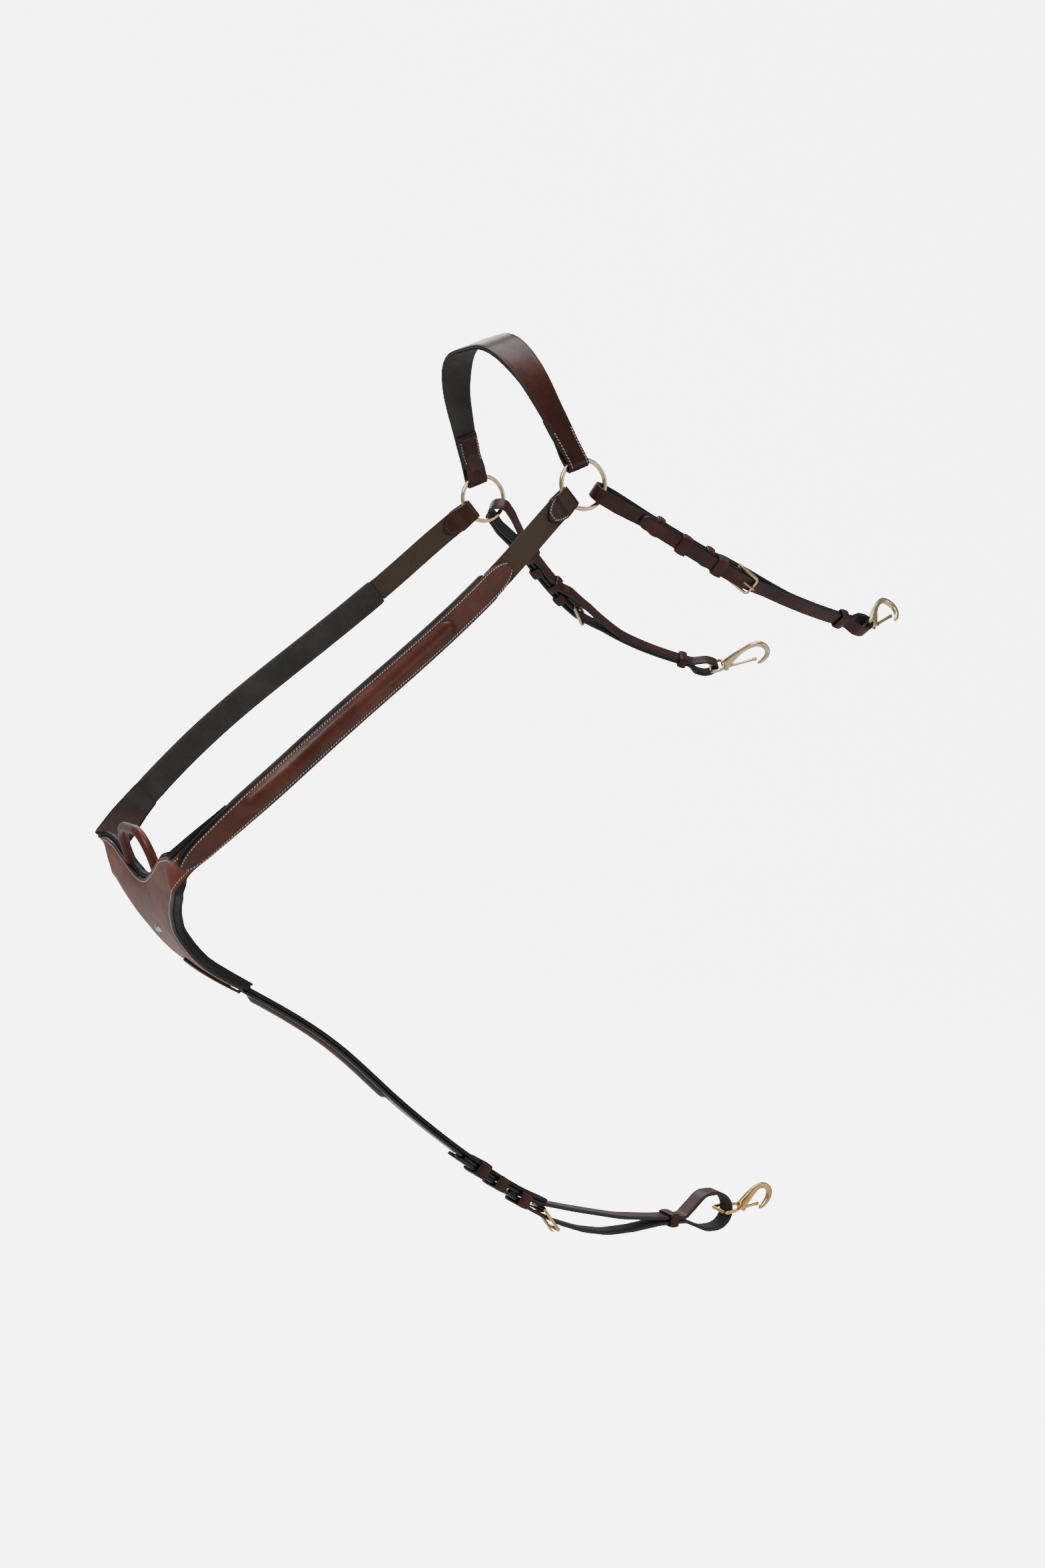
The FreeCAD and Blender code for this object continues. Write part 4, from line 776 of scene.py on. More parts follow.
class Plate:
    """Smooth surface over the same stations as the CAD plate, from the left arm to the right arm."""

    def __init__(self, grow, skipped=0, columns=36, rows=150):
        self.columns = columns
        left = self.side_rows("left", grow)[skipped:]
        right = self.side_rows("right", grow)[skipped:]
        stations = left + right[-2::-1]
        points = np.array([[tuple(p) for p, _, _ in row] for row in stations])
        normals = np.array([[tuple(n) for _, n, _ in row] for row in stations])
        shares = np.array([[[share] for _, _, share in row] for row in stations])
        middles = points[:, columns // 2]
        self.points, self.normals, self.shares = [], [], []
        t = np.concatenate([[0], np.cumsum(np.linalg.norm(np.diff(middles, axis=0), axis=1))])
        fine = np.linspace(0, t[-1], rows)
        flat = np.concatenate([points, normals, shares], axis=2).reshape(len(stations), -1)
        smooth = self.cubic(t, flat, fine).reshape(rows, columns + 1, 7)
        for row in smooth:
            self.points.append([V(c[:3]) for c in row])
            self.normals.append([V(c[3:6]).normalized() for c in row])
            self.shares.append(float(row[0][6]))

    def side_rows(self, side, grow):
        sign, route, stations = SIDES[side], shoulder_route(side), []
        n = self.columns
        for d, share in ARM_THICKNESS.items():
            point, _, across, normal = route.frame(d)
            wide = 12.5 + grow * smooth_step((d - ARM_START) / 52)
            stations.append([(point + across * wide * (1 - 2 * i / n) - normal * 1.05, normal, share)
                             for i in range(n + 1)])
        for y, top, bottom in reversed(PLATE_EDGES):
            row = []
            for i in range(n + 1):
                z = top + grow + (bottom - grow * 0.6 - top - grow) * i / n
                point, normal = profile_at(max(z, PLATE_TAIL))
                row.append((V((point.x, sign * y, point.z)), normal, min(1.0, 1 - (y - 90) * 0.01)))
            stations.append(row)
        return stations

    @staticmethod
    def cubic(t, values, fine):
        """Shape-keeping cubic through the stations (tangents from the neighbours)."""
        slopes = np.gradient(values, t, axis=0)
        k = np.clip(np.searchsorted(t, fine, side="right") - 1, 0, len(t) - 2)
        h = (t[k + 1] - t[k])[:, None]
        s = ((fine - t[k])[:, None]) / h
        return ((2 * s ** 3 - 3 * s ** 2 + 1) * values[k] + (s ** 3 - 2 * s ** 2 + s) * h * slopes[k]
                + (-2 * s ** 3 + 3 * s ** 2) * values[k + 1] + (s ** 3 - s ** 2) * h * slopes[k + 1])

    def layer(self, outer, inner, crown=0.0, crease=0.0, bulge=0.6):
        """Closed solid between two depths below the surface, with rounded edges."""
        rows, n = [], self.columns
        for row, normals, share in zip(self.points, self.normals, self.shares):
            ring = []
            near, far = outer * share, inner * share
            width = (row[0] - row[-1]).length

            def rim(end, beside, row=row, normals=normals, near=near, far=far):
                """Bulging edge of the layer, from its outer face to its inner one."""
                out = (row[end] - row[beside]).normalized()
                return [row[end] + out * (bulge * math.sin(a))
                        - normals[end] * (near + (far - near) * (1 - math.cos(a)) / 2)
                        for a in (math.pi * k / 6 for k in range(1, 6))]
            for i in range(n + 1):
                t = i / n
                edge = min(t, 1 - t) * width
                rise = crown * share * smooth_step(edge / 14) - crease * math.exp(-((edge - 3.4) / 0.8) ** 2)
                ring.append(row[i] + normals[i] * (rise - near))
            ring += rim(-1, -2)
            ring += [row[i] - normals[i] * far for i in reversed(range(0, n + 1, 4))]
            ring += reversed(rim(0, 1))
            rows.append(ring)
        tags = [TOP] * n + [EDGE] * 6 + [UNDER] * (n // 4) + [EDGE] * 6
        return Solid().sweep(rows, tags)

    def sew(self, stitches, inset, first, last, level=0.0, top=True, **look):
        """Stitch along the upper or lower edge between two rows."""
        line, normals = [], []
        for row, normal in list(zip(self.points, self.normals))[first:last]:
            width = (row[0] - row[-1]).length
            t = min(inset / width, 0.5) * self.columns
            index = t if top else self.columns - t
            i = int(index)
            line.append(row[i].lerp(row[min(i + 1, self.columns)], index - i) + normal[i] * level)
            normals.append(normal[i])
        stitches.row(line, normals, **look)


def make_plate():
    plate = Plate(0.0)
    plate.layer(0.0, 3.0, crown=1.1, crease=0.3, bulge=0.3).add(
        "plate_leather", (M_PLATE, M_EDGE, M_FLESH), "yoke", "outer_leather", "chest_plate")
    for top in (True, False):
        plate.sew(stitching("yoke"), 3.2, 6, len(plate.points) - 6, 0.1, top)
    Plate(2.5).layer(3.0, 8.0, bulge=1.6).add("plate_pad", (M_LINING, M_PAD_EDGE, M_LINING), "yoke",
                                              "lining_leather", "chest_lining")
    Plate(1.5, 1).layer(8.0, 11.0, bulge=1.2).add("plate_backing", (M_BACKING, M_PAD_EDGE, M_BACKING), "yoke",
                                                  "backing_leather", "chest_backing")


def make_rolled_loop():
    foot, lean, radius = V((-15.5, 0, 30)), V((-0.345, 0, 0.939)), 4.7
    half = [(38, 14, 0), (43, 34, 30), (30, 57.5, 24)]
    local = axes(foot, Y_AXIS, lean)
    stations = sampled(half + [(-x, y, r) for x, y, r in reversed(half)], 2.5, 5)
    rows = []
    for x, y, angle, _ in stations:
        m = (-math.sin(angle), math.cos(angle))
        ring = []
        for a in circle(24):
            # The seam where the leather closes on itself runs along the inside of the loop.
            r = radius - 0.35 * math.exp(-((a - 0.15) / 0.16) ** 2)
            ring.append(local @ V((x + m[0] * r * math.cos(a), y + m[1] * r * math.cos(a), r * math.sin(a))))
        rows.append(ring)
    Solid().sweep(rows, None, [s[3] for s in stations]).add(
        "rolled_loop", (M_LOOP, M_LOOP), "yoke", "outer_leather", "rolled_loop_cover", "rolled_loop_core")


def make_stud():
    point, normal = profile_at(-7)
    local = axes(point + normal * 0.9, Y_AXIS, normal)
    rows = []
    for r, h in ((0.02, 3.1), (1.4, 2.95), (2.7, 2.45), (3.7, 1.65), (4.3, 0.8), (4.7, 0.35), (4.95, 0.1),
                 (4.95, -0.6)):
        rows.append([local @ V((r * math.cos(a), h, r * math.sin(a))) for a in circle(32)])
    Solid().sweep(rows).add("stud_dome", (M_STUD, M_STUD), "yoke", "stud_nickel", "stud")


# ---------------------------------------------------------------- girth strap
GIRTH_ROUTE = [(70, 0, -65), (103, 0, -85), (162, 0, -127), (217, 0, -179), (262, 0, -219), (322, 0, -266),
               (375, 0, -299.2), (392, 0, -307.5)]
GIRTH_LINING = 4.5
GIRTH_LEATHER_END, GIRTH_LINING_END, GIRTH_RIDGE_END = 287, 393, 190
HINGE_GAP, GIRTH_HALF, GIRTH_LINING_HALF = 2.6, 12.0, 13.5
ADJUSTER, CHAPE = 3.5, 1.5
BUCKLE_BAR = 1.6
GIRTH_REAR_BAR, GIRTH_FRONT_BAR = V((376.6, 0, -312.4)), V((392.6, 0, -335.1))
GIRTH_EYE = V((587, 0, -340.7))
GIRTH_TIP = 278
# Keepers are (distance, lowest layer, highest layer); their outer walls are pressed down a little.
GIRTH_KEEPERS = ((312, 0, 13.4), (337, 2.4, 14.0), (368, 4.6, 17.2))
KEEPER_DROP = 0.9
girth_route = Route([V(p) for p in GIRTH_ROUTE], Y_AXIS, V((0.6, 0, 0.8)))


def girth_point(distance, depth):
    """Place in that plane at a depth below the girth strap's upper face."""
    point, _, _, normal = girth_route.frame(distance)
    at = point - normal * depth
    return at.x, at.z


def xz_place(x, y, u):
    """A flat path in the girth strap's upright plane, as a place in space."""
    return V((x, -u, y))


def make_girth_head():
    """Pointed end of the girth strap, sewn on the plate's tail."""
    rows = []
    heights = [-36, -36.3, -36.9, -38, -40, -43, -47, -52, -57, -62, -66, -69]
    line = {-1: [], 1: []}
    normals = []
    for z in heights:
        point, normal = profile_at(z)
        w = rounded_end((-36 - z) * 1.35, GIRTH_HALF, 30)
        rows.append([point + Y_AXIS * u + normal * (v + 0.9) for u, v in strap_section(w, 0.0, 2.6)])
        if z <= -38:
            normals.append(normal)
            for edge in line:
                line[edge].append(point + Y_AXIS * (edge * max(w - 2.0, 0.3)) + normal * 3.4)
    Solid().sweep(rows, SECTION_TAGS).add("girth_point", (M_WITHER, M_WITHER, M_FLESH), "yoke",
                                          "outer_leather", "girth_head")
    for edge in line:
        stitching("yoke").row(line[edge], normals)


def make_girth_strap():
    def half(d):
        return rounded_end(GIRTH_LEATHER_END - d, GIRTH_HALF, 6, 0.7)

    def section(d):
        return [(u, -v) for u, v in strap_section(
            half(d), GIRTH_LINING, GIRTH_LINING + 3.0, raised(d, HINGE_GAP + 4, GIRTH_RIDGE_END),
            raised_half(min(d - HINGE_GAP - 2, GIRTH_RIDGE_END - d)))]
    steps = spread(HINGE_GAP, GIRTH_LEATHER_END, 2.5)
    rows = girth_route.rows(steps, section)
    Solid().sweep(rows, SECTION_TAGS, steps).add("girth_leather", WITHER_MATERIALS, "girth",
                                                 "outer_leather", "girth_strap", "girth_core")
    steps = spread(HINGE_GAP, GIRTH_LINING_END, 3)
    rows = girth_route.rows(steps, lambda d: [(u, -v) for u, v in pillow_section(
        rounded_end(GIRTH_LINING_END - d, GIRTH_LINING_HALF, 6, 0.7), 0.0, GIRTH_LINING, 4.5)])
    Solid().sweep(rows, None, steps).add("girth_pad", (M_PAD_EDGE, M_PAD_EDGE), "girth", "lining_leather",
                                         "girth_lining")
    girth_route.seams(stitching("girth"), np.arange(HINGE_GAP + 2, GIRTH_LEATHER_END - 2, 2.0),
                      lambda d: half(d) - 2.0, lambda d: -(GIRTH_LINING + 2.85), -1)


def adjuster_path():
    depth = GIRTH_LINING + 0.1 + ADJUSTER / 2
    billet = depth + ADJUSTER + 0.6
    x, z, r = 576.5, -338.5, 18.7
    sewn = [(*girth_point(d, depth), 60) for d in (304, 319, 334, 349, 364, 379)]
    return [(*girth_point(GIRTH_LEATHER_END + 2, depth), 0)] + sewn + [
        (*girth_point(391, depth), 40), (414, -318.2, 120), (465, -331.6, 120), (505, -337.4, 80),
        (541, -340.8, 8),
        (565, z + r, 15), (x + r, z + r, r - 0.05), (x + r, z - r, r - 0.05), (566, z - r, 24),
        (541, -344.9, 12), (510, -343.9, 40), (480, -346.4, 60), (450, -346.2, 60), (422, -339.8, 60),
        (396, -329.6, 40), (*girth_point(389, billet + 6.4), 40), (*girth_point(372, billet + 4.2), 40),
        (*girth_point(352, billet + 1.8), 40), (*girth_point(332, billet), 40),
        (*girth_point(GIRTH_TIP, billet), 0)]


def make_adjuster():
    stations = fine_tip(sampled(adjuster_path(), 3.0, 6.0))
    total = stations[-1][3]
    h = ADJUSTER / 2

    def section(s):
        return strap_section(rounded_end(total - s[3], 11, 9, 0.3), -h, h, crease=0.2, crease_in=1.8)
    rows = flat_rows(stations, section, xz_place)
    Solid().sweep(rows, SECTION_TAGS, [s[3] for s in stations]).add(
        "girth_billet", STRAP_MATERIALS, "girth", "strap_leather", "girth_adjuster")


def make_chape():
    depth = GIRTH_LINING + 0.1 + ADJUSTER + 0.1 + CHAPE / 2
    fold = BUCKLE_BAR + 0.1 + CHAPE / 2
    end_depth = depth + CHAPE + 0.05
    centre = V((GIRTH_REAR_BAR.x, GIRTH_REAR_BAR.z))
    along = (centre - V(girth_point(368, depth + fold))).normalized()
    across = V((-along.y, along.x))

    def at(run, out):
        point = centre + along * run + across * out
        return point.x, point.y
    path = [(*girth_point(352, depth), 0), (*girth_point(368, depth), 20), (*at(-4, fold), 8),
            (*at(fold, fold), fold - 0.01), (*at(fold, -fold), fold - 0.01), (*at(-6, -fold), 8),
            (*girth_point(362, end_depth), 12), (*girth_point(352, end_depth), 0)]
    stations = sampled(path, 2.0, 10.0)
    solid = Solid()
    for side in (-1, 1):
        rows = flat_rows(stations, lambda s: [(side * 6.1 + u, v) for u, v in strap_section(
            3.8, -CHAPE / 2, CHAPE / 2, crease=0.0, edge_round=0.4)], xz_place)
        solid.sweep(rows, SECTION_TAGS)
    solid.add("girth_buckle_chape", (M_STRAP, M_EDGE, M_STRAP), "girth", "strap_leather", "girth_chape")


# ---------------------------------------------------------------- keepers, buckles
def keeper(solid, local, half_width, low, high, length, wall=1.8, corner=1.6):
    """Closed leather loop round a strap: local X along the strap, Y across, Z outward."""
    w, a, b = half_width + wall / 2, low - wall / 2, high + wall / 2
    line = []
    corners = ((w, a, -90), (w, b, 0), (-w, b, 90), (-w, a, 180))
    for y, z, first in corners:
        cy, cz = y - math.copysign(corner, y), z - (corner if z > (a + b) / 2 else -corner)
        for k in range(6):
            angle = math.radians(first + 90 * k / 5)
            line.append((cy + corner * math.cos(angle), cz + corner * math.sin(angle), angle))
    rows = []
    for y, z, angle in line:
        ring = []
        for u, v in strap_section(length / 2, -wall / 2, wall / 2, crease_in=1.5, edge_round=0.55):
            if v > 0:
                v += 0.5 * max(0.0, 1 - (2 * u / length) ** 2)
            ring.append(local @ V((u, y + math.cos(angle) * v, z + math.sin(angle) * v)))
        rows.append(ring)
    solid.sweep(rows, SECTION_TAGS, closed=True)


def punched_hole(solid, local, face):
    """Dark disc of a punched hole, its black standing for the cut wall and for painted shade in the hole's
    depth: local Z outward from the strap's middle, face at that height.
    """
    rows = [[local @ V((r * math.cos(a), r * math.sin(a), face + z)) for a in circle(20)]
            for r, z in ((0.02, -0.02), (1.35, 0.0), (1.6, 0.14), (1.9, 0.16), (2.15, 0.04), (2.2, -0.3))]
    solid.sweep(rows)


def sew_slider(body, local, offset, reach, level, pitch):
    """Two rows of stitches across the inner side of a sliding loop, where its ends meet."""
    for row in (-offset, offset):
        line = [local @ V((row, y, level)) for y in np.linspace(-reach, reach, 8)]
        stitching(body).row(line, [local.to_3x3() @ -Z_AXIS] * 8, pitch=pitch)


def make_girth_keepers():
    solid = Solid()
    for d, low, high in GIRTH_KEEPERS:
        point, tangent, _, normal = girth_route.frame(d)
        outward = -normal
        local = axes(point + normal * 0.1, tangent, outward.cross(tangent))
        keeper(solid, local, GIRTH_LINING_HALF + 0.1, low, high - KEEPER_DROP, 13)
    solid.add("girth_loops", STRAP_MATERIALS, "girth", "strap_leather", "girth_keepers")
    slider = Solid()
    local = axes(V((526, 0, -341.9)), V((1, 0, -0.066)), Y_AXIS)
    reach = 4.9
    keeper(slider, local, 11.4, -reach, reach, 10)
    slider.add("girth_sliding_loop", STRAP_MATERIALS, "girth_slider", "strap_leather", "girth_slider")
    sew_slider("girth_slider", local, 2.6, 9.5, -reach - 1.75, 2.9)


def make_buckle(prefix, rear, front, across, strap_width, material, body, tongue_body, slot):
    """Cast buckle with a round bar, and a tongue curled round the bar."""
    local = axes(rear, front - rear, across)
    reach = (front - rear).length
    inner, wall, bar = strap_width / 2 + 0.8, 3.0, BUCKLE_BAR
    mid = inner + wall / 2
    solid = Solid()
    path = [(0.4, -mid, 0), (reach, -mid, 3.2), (reach, mid, 3.2), (0.4, mid, 0)]
    stations = sampled(path, 3.0, 15.0)
    rows = []
    for x, y, angle, _ in stations:
        m = (-math.sin(angle), math.cos(angle))
        t = x / reach
        # Sides are flat bars; the front bar thins to a rod where the tongue rests.
        w = (wall / 2) * (1 - 0.12 * smooth_step((t - 0.8) / 0.2))
        ring = [(w * rounded(math.cos(a), 0.7), bar * rounded(math.sin(a), 0.7)) for a in circle(20)]
        rows.append([local @ V((x + m[0] * p, y + m[1] * p, q)) for p, q in ring])
    solid.sweep(rows)
    line = [local @ V((0, y, 0)) for y in np.linspace(-mid, mid, 9)]
    solid.sweep(tube_rows(line, bar - 0.05, 18))
    for y in (-mid, mid):
        knob = [local @ V((x, y, 0)) for x in (-1.9, -1.7, -1.1, 0.0, 1.1)]
        solid.sweep(tube_rows(knob, [0.3, 1.1, 1.6, 1.75, 1.6], 18))
    solid.add(prefix + "_buckle_frame", (material, material), body, slot, prefix + "_buckle")
    tongue = Solid()
    rows = []
    for a in circle(28):
        rows.append([local @ V((r * math.cos(a), y, r * math.sin(a)))
                     for r, y in ((1.72, -1.5), (2.6, -1.5), (2.9, -1.1), (2.9, 1.1), (2.6, 1.5),
                                  (1.72, 1.5))])
    tongue.sweep(rows, closed=True)
    rise = bar + 1.27            # clears the front bar, which the tongue rests on
    line, radii = [], []
    for t in np.linspace(0, 1, 12):
        x = 1.9 + (reach + 1.6) * t
        z = 1.9 + (rise - 1.6) * t + 0.9 * math.sin(math.pi * t) - smooth_step((t - 0.93) / 0.07)
        line.append(local @ V((x, 0, z)))
        radii.append(1.25 - 0.2 * t if t < 0.97 else 0.55)
    tongue.sweep(tube_rows(line, radii, 14))
    tongue.add(prefix + "_buckle_tongue", (material, material), tongue_body, slot, prefix + "_tongue")


# ---------------------------------------------------------------- saddle straps
ROLL_AT_RING, ROLL_AT_SNAP = 28, 52
LOOP_CENTRE, LOOP_RADIUS = 23.3, 10.8
BIGHT_RADIUS = 8.8
BUCKLE_LENGTH = 20
SADDLE_WIDTH, SADDLE_THICK, PITCH = 14.0, 3.2, 5.4
SADDLE = {
    "left": dict(chord=(0.914, 0.07, -0.399), eye=330, bow=25, bar=168, tip=61,
                 small=(80, 135), large=(109, 149), holes=(201, 223, 246, 269)),
    "right": dict(chord=(0.839, 0.0, -0.544), eye=322, bow=40, bar=160, tip=17,
                  small=(84, 127), large=(102, 142), holes=(190, 213, 238, 263)),
}


class SaddleRoute:
    """c along the strap from the ring's centre, n outward through its layers, b across it."""

    def __init__(self, side):
        spec = SADDLE[side]
        self.side, self.sign, self.spec = side, SIDES[side], spec
        x, y, z = spec["chord"]
        self.chord = V((x, self.sign * y, z)).normalized()
        self.eye, self.bow, self.bar, self.tip = (spec[k] for k in ("eye", "bow", "bar", "tip"))
        self.up = V((-self.chord.z, 0, self.chord.x)).normalized()
        self.out = V((0, self.sign, 0))

    def point(self, c, n, b):
        roll = math.radians(ROLL_AT_RING + (ROLL_AT_SNAP - ROLL_AT_RING) * c / self.eye)
        outward = self.out * math.cos(roll) - self.up * math.sin(roll)
        across = self.up * math.cos(roll) + self.out * math.sin(roll)
        t = max(0.0, (c - LOOP_CENTRE) / (self.eye - LOOP_CENTRE))
        sag = self.bow * math.sin(math.pi * min(t, 1.05))
        level = Y_AXIS * (self.chord.y * min(c, LOOP_CENTRE))
        return RING_CENTRE[self.side] + self.chord * c - level + outward * (n + sag) + across * b

    def frame(self, c, n=0.0):
        origin = self.point(c, n, 0)
        along = (self.point(c + 2, n, 0) - self.point(c - 2, n, 0)).normalized()
        across = self.point(c, n, 1) - origin
        across = (across - along * across.dot(along)).normalized()
        outward = self.point(c, n + 1, 0) - origin
        outward = (outward - along * outward.dot(along) - across * outward.dot(across)).normalized()
        return origin, along, across, outward

    def path(self):
        bar, eye = self.bar, self.eye
        chape = 1.75 + SADDLE_THICK / 2
        back = -2 * chape - SADDLE_THICK - 0.3
        bight, middle = eye - 4.5, -1.8
        low, high = middle - BIGHT_RADIUS, middle + BIGHT_RADIUS
        r, g = LOOP_RADIUS, LOOP_CENTRE - LOOP_RADIUS
        tight = BIGHT_RADIUS - 0.05
        first = [(bar - 15, -2 * chape, 0), (bar + chape, -2 * chape, chape - 0.01),
                 (bar + chape, 0, chape - 0.01), (70, 0, 40), (36, r, 16), (g, r, r - 0.02),
                 (g, -r, r - 0.02), (36, -r, 16),
                 (68, -PITCH, 40), (bar - 26, -PITCH, 14), (bar - 15, back, 14), (bar + 14, back, 30),
                 (bar + 62, -3.6, 60), (eye - 21, -3.6, 10), (eye - 11, low, 8),
                 (bight + BIGHT_RADIUS, low, tight), (bight + BIGHT_RADIUS, high, tight),
                 (eye - 11, high, 8), (eye - 21, 0, 10), (bar + 40, 0, 30), (bar + 7, PITCH, 22)]
        if self.tip > 60:
            return first + [(self.tip, PITCH, 0)]
        return first + [(76, PITCH, 40), (38, r + 4.2, 15), (self.tip, r + 4.4, 0)]

    def buckle_frame(self):
        chape = 1.75 + SADDLE_THICK / 2
        rear, _, across, _ = self.frame(self.bar, -chape)
        along = (self.point(self.bar + BUCKLE_LENGTH, 7.0, 0) - rear).normalized()
        across = (across - along * across.dot(along)).normalized()
        if along.cross(across).dot(self.frame(self.bar)[3]) < 0:
            across = -across
        return rear, along, across

    def local(self, c, n=0.0):
        origin, along, across, outward = self.frame(c, n)
        if along.cross(across).dot(outward) < 0:
            across = -across
        return axes(origin, along, across)


def make_saddle_strap(side):
    route = SaddleRoute(side)
    stations = fine_tip(sampled(route.path(), 3.0, 8.0))
    total = stations[-1][3]
    h = SADDLE_THICK / 2

    def section(s):
        return [(u, -v) for u, v in strap_section(rounded_end(total - s[3], SADDLE_WIDTH / 2, 8, 0.3), -h, h,
                                                  crease=0.2, crease_in=1.6)]
    body = side + "_saddle"
    Solid().sweep(flat_rows(stations, section, route.point), SECTION_TAGS, [s[3] for s in stations]).add(
        side + "_saddle_leather", STRAP_MATERIALS, body, "strap_leather", side + "_saddle_strap")
    rear, along, across = route.buckle_frame()
    make_buckle(side, rear, rear + along * BUCKLE_LENGTH * 1.12, across, SADDLE_WIDTH, M_BUCKLE, body,
                side + "_tongue", "buckle_brass")
    half, width = h + 0.12, SADDLE_WIDTH / 2 + 0.15
    for name, low, high, length in (("small", -PITCH - half, half, 9), ("large", -half, PITCH + half, 11.5)):
        solid = Solid()
        for c in route.spec[name]:
            keeper(solid, route.local(c), width, low, high, length)
        solid.add(f"{side}_{name}_loops", STRAP_MATERIALS, body, "strap_leather", f"{side}_{name}_keepers")
    # Punched holes: slightly sunk discs with a pressed rim, painted black for the cut wall and the shade
    # inside each hole, on the outer face of the first run.
    holes = Solid()
    for c in route.spec["holes"]:
        level = PITCH * max(0.0, min(1.0, (route.bar + 40 - c) / 33))
        punched_hole(holes, route.local(c, level), h)
    holes.add(side + "_strap_holes", (M_EDGE, M_EDGE), body, "strap_leather")
    slider = Solid()
    local = route.local(route.eye - 31, -1.8)
    reach = 1.8 + half + 0.4
    keeper(slider, local, width + 0.3, -reach, reach, 9)
    slider.add(side + "_sliding_loop", STRAP_MATERIALS, side + "_slider", "strap_leather", side + "_slider")
    sew_slider(side + "_slider", local, 2.2, 5, -reach - 1.75, 2.8)


# ---------------------------------------------------------------- snap hooks
SNAP_LIFT = math.radians(35)
# Spine stations are (x, y, half width, half thickness).
SNAPS = {
    "saddle": dict(pivot=V((15.8, -4.7, 0)), arm=11.5, neck=14.5, collar=11.4, gate_end=50.4, spine=(
        (14, -1.6, 5.2, 3.5), (20, 1.6, 5.0, 3.5), (27, 5.6, 4.2, 3.4), (35, 9.4, 3.2, 3.1),
        (43, 12.2, 2.6, 2.9), (50, 13.6, 2.6, 2.9), (56, 13.0, 2.9, 2.9), (61, 9.0, 3.1, 3.0),
        (63.4, 3.0, 3.1, 3.0),
        (62.0, -3.0, 2.9, 2.9), (57.5, -7.6, 2.5, 2.7), (52.5, -10.0, 2.1, 2.4), (49.2, -10.9, 1.5, 1.9))),
    "girth": dict(pivot=V((27.2, -4.2, 0)), arm=13.4, neck=25.0, collar=22.6, gate_end=47.8, spine=(
        (25, -1.4, 5.2, 3.5), (30.5, 2.2, 5.2, 3.5), (36, 6.4, 4.7, 3.5), (42, 10.6, 4.1, 3.4),
        (50, 13.8, 3.2, 3.2), (57, 12.9, 3.3, 3.2), (61.6, 7.6, 3.3, 3.3), (60.6, 0.6, 3.2, 3.2),
        (56, -5.0, 3.0, 3.0), (50.4, -8.6, 2.5, 2.7), (47.2, -9.8, 1.6, 1.9))),
}


def saddle_snap_frame(side):
    route = SaddleRoute(side)
    origin, along, _, outward = route.frame(route.eye, -1.8)
    out = along * math.cos(SNAP_LIFT) - outward * math.sin(SNAP_LIFT)
    return axes(origin, out, outward * -math.cos(SNAP_LIFT) - along * math.sin(SNAP_LIFT))


def girth_snap_frame():
    tilt = math.radians(7)
    out = V((math.cos(tilt), 0, math.sin(tilt)))
    return axes(GIRTH_EYE, out, V((-out.z, 0, out.x)))


def make_snap(prefix, local, inner_half, spec, material, slot):
    """Cast snap: square eye, collar, hook square to the eye, sprung gate on a pin."""
    solid, pivot, stations = Solid(), spec["pivot"], spec["spine"]
    count = 60
    _, spine = spline_table([(x, y, 0) for x, y, _, _ in stations], count)
    key = np.linspace(0, 1, len(stations))
    rows = []
    for i, t in enumerate(np.linspace(0, 1, count)):
        ahead = V(spine[min(i + 1, count - 1)]) - V(spine[max(i - 1, 0)])
        ahead.normalize()
        side = V((-ahead.y, ahead.x, 0))
        w = float(np.interp(t, key, [p[2] for p in stations]))
        h = float(np.interp(t, key, [p[3] for p in stations]))
        if i >= count - 2:
            shrink = 0.75 if i == count - 2 else 0.35
            w, h = w * shrink, h * shrink
        rows.append([local @ (V(spine[i]) + side * (w * rounded(math.cos(a), 0.8))
                              + Z_AXIS * (h * rounded(math.sin(a), 0.8))) for a in circle(22)])
    solid.sweep(rows)
    # Eye: a rod bent to a square-cornered ring whose far run the strap goes round.
    arm = inner_half + 1.9
    bend, neck = spec["arm"], spec["neck"]
    eye = sampled([(neck, -3.2, 0), (bend, -arm, 5.0), (0, -arm, 2.4), (0, arm, 2.4), (bend, arm, 5.0),
                   (neck, 3.2, 0)], 2.0, 15.0)
    solid.sweep(tube_rows([local @ V((x, 0, y)) for x, y, _, _ in eye], 1.9, 16))
    # Collar between eye and hook.
    line = [local @ V((spec["collar"] + x, y, 0)) for x, y in ((0, -0.8), (0.8, -0.9), (2, -1.1), (3.2, -1.3),
                                                               (4.2, -1.5))]
    solid.sweep(tube_rows(line, [3.4, 4.6, 4.9, 4.7, 3.6], 20))
    # Cheeks that hold the gate's pin.
    for z in (-2.8, 2.8):
        line = [local @ V((pivot.x, pivot.y, z + dz)) for dz in (-0.7, -0.5, 0.5, 0.7)]
        solid.sweep(tube_rows(line, [2.7, 3.1, 3.1, 2.7], 22))
    body, gate_body = prefix + "_snap", prefix + "_gate"
    solid.add(prefix + "_snap_casting", (material, material), body, slot, prefix + "_snap_hook")
    gate = Solid()
    end = spec["gate_end"]
    reach = ([pivot.x + x for x in (-1.8, -1.2, 0.2, 3.2)]
             + [end - x for x in (14, 10, 6.4, 4, 2.4, 1, 0.3, 0)])
    gate.sweep(tube_rows([local @ V((x, pivot.y, 0)) for x in reach],
                         [0.9, 1.5, 1.7, 1.75, 1.7, 1.7, 1.7, 1.9, 2.2, 2.1, 1.5, 0.6], 16))
    gate.add(prefix + "_gate_rod", (material, material), gate_body, slot, prefix + "_gate")
    pin = Solid()
    line = [local @ V((pivot.x, pivot.y, z)) for z in (-3.75, -3.6, 3.6, 3.75)]
    pin.sweep(tube_rows(line, [0.7, 1.05, 1.05, 0.7], 14))
    pin.add(prefix + "_gate_rivet", (M_STEEL, M_STEEL), body, "pin_steel", prefix + "_gate_pin")


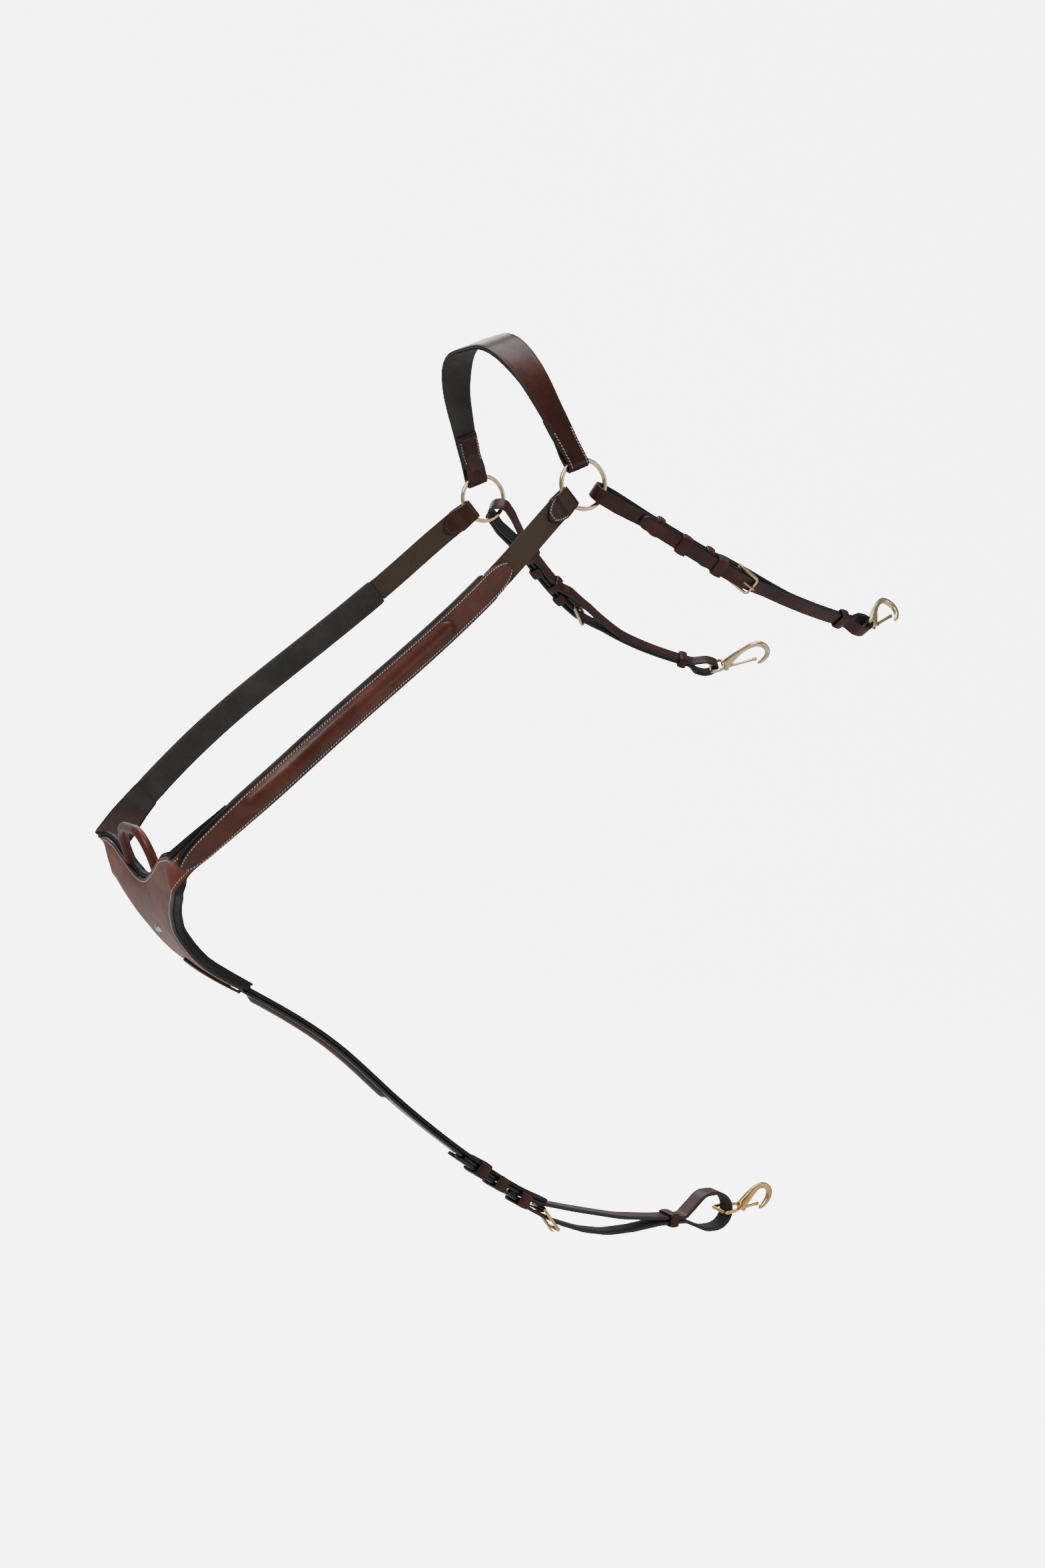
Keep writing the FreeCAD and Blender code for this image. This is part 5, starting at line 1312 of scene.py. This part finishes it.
# ---------------------------------------------------------------- build
for each_side in SIDES:
    make_ring(each_side)
    make_tab(each_side)
    make_shoulder(each_side)
    make_saddle_strap(each_side)
    make_snap(each_side, saddle_snap_frame(each_side), SADDLE_WIDTH / 2 + 0.8, SNAPS["saddle"], M_SNAP,
              "snap_brass")
make_wither()
make_plate()
make_rolled_loop()
make_stud()
make_girth_head()
make_girth_strap()
make_adjuster()
make_chape()
make_girth_keepers()
make_buckle("girth", GIRTH_REAR_BAR, GIRTH_FRONT_BAR, -Y_AXIS, 22, M_GIRTH_METAL, "girth", "girth_tongue",
            "girth_brass")
make_snap("girth", girth_snap_frame(), 11.8, SNAPS["girth"], M_GIRTH_METAL, "girth_brass")
for (body, colour), rows in STITCHES.items():
    rows.add(f"{body}_{colour}_stitching", M_THREAD if colour == "white" else M_BROWN_THREAD, body,
             "outer_leather" if body in ("yoke", "wither", "girth") else "strap_leather")
for node_name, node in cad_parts.items():
    if node_name.endswith("gate_spring"):
        for slot_place in node.material_slots:
            slot_place.material = M_STEEL


# ---------------------------------------------------------------- stage, light and camera
def make_floor():
    """Pale floor that curves up into a pale wall, far from the object."""
    profile = [(-9.0, -0.78), (3.0, -0.78), (3.6, -0.72), (4.1, -0.5), (4.4, 0.0), (4.5, 1.0), (4.5, 6.0)]
    mesh = bpy.data.meshes.new("studio_floor")
    points = [(x, y, z) for y, z in profile for x in (-12.0, 12.0)]
    faces = [(2 * i, 2 * i + 1, 2 * i + 3, 2 * i + 2) for i in range(len(profile) - 1)]
    mesh.from_pydata(points, [], faces)
    n = Nodes("floor_paper")
    paper = n.ramp(n.noise(3.0), [(0.3, (0.86, 0.86, 0.86)), (0.7, (0.90, 0.90, 0.90))])
    seen = n.tree.nodes.new("ShaderNodeLightPath").outputs["Is Camera Ray"]
    glow = n.span(seen, 0.0, 6.0, 0.0, 1.0)
    mesh.materials.append(n.set(Base_Color=paper, Roughness=0.9, Specular_IOR_Level=0.0,
                                Emission_Color=(1, 1, 1, 1), Emission_Strength=glow))
    floor = bpy.data.objects.new("studio_floor", mesh)
    bpy.context.scene.collection.objects.link(floor)


def make_light(name, place, target, size, power):
    light = bpy.data.lights.new(name, "AREA")
    light.shape = "RECTANGLE"
    light.size, light.size_y, light.energy = size[0], size[1], power
    obj = bpy.data.objects.new(name, light)
    obj.location = place
    obj.rotation_euler = (V(target) - V(place)).to_track_quat("-Z", "Y").to_euler()
    bpy.context.scene.collection.objects.link(obj)


make_floor()
for light_spec in (("key_softbox", (-1.5, -2.0, 2.3), (0.2, 0, 0.1), (1.6, 1.6), 60),
                   ("top_softbox", (0.6, 0.3, 2.6), (0.3, 0, 0), (2.2, 1.2), 36),
                   ("fill_softbox", (2.2, -2.2, 0.6), (0.3, 0, 0), (1.6, 2.2), 14),
                   ("rim_softbox", (0.8, 2.2, 1.6), (0.3, 0, 0.1), (2.0, 1.0), 18)):
    make_light(*light_spec)
world = bpy.data.worlds.new("studio_world")
bpy.context.scene.world = world
world.use_nodes = True
world_tree = world.node_tree
world_tree.nodes["Background"].inputs["Color"].default_value = (1, 1, 1, 1)
# The backdrop looks as pale as the floor, and lights the leather only softly.
ray = world_tree.nodes.new("ShaderNodeLightPath")
strength = world_tree.nodes.new("ShaderNodeMapRange")
strength.inputs["To Min"].default_value, strength.inputs["To Max"].default_value = 0.25, 6.8
world_tree.links.new(ray.outputs["Is Camera Ray"], strength.inputs["Value"])
world_tree.links.new(strength.outputs["Result"], world_tree.nodes["Background"].inputs["Strength"])

camera = bpy.data.cameras.new("photo_camera")
camera.lens, camera.sensor_width = 48.21, 36
camera_object = bpy.data.objects.new("photo_camera", camera)
right, up = V((0.89879, -0.43837, 0)), V((0.0306, 0.0627, 0.9976))
back = right.cross(up).normalized()
camera_object.matrix_world = Matrix(((right.x, up.x, back.x, -0.5428), (right.y, up.y, back.y, -1.8470),
                                     (right.z, up.z, back.z, 0.2557), (0, 0, 0, 1)))
bpy.context.scene.collection.objects.link(camera_object)
bpy.context.scene.camera = camera_object
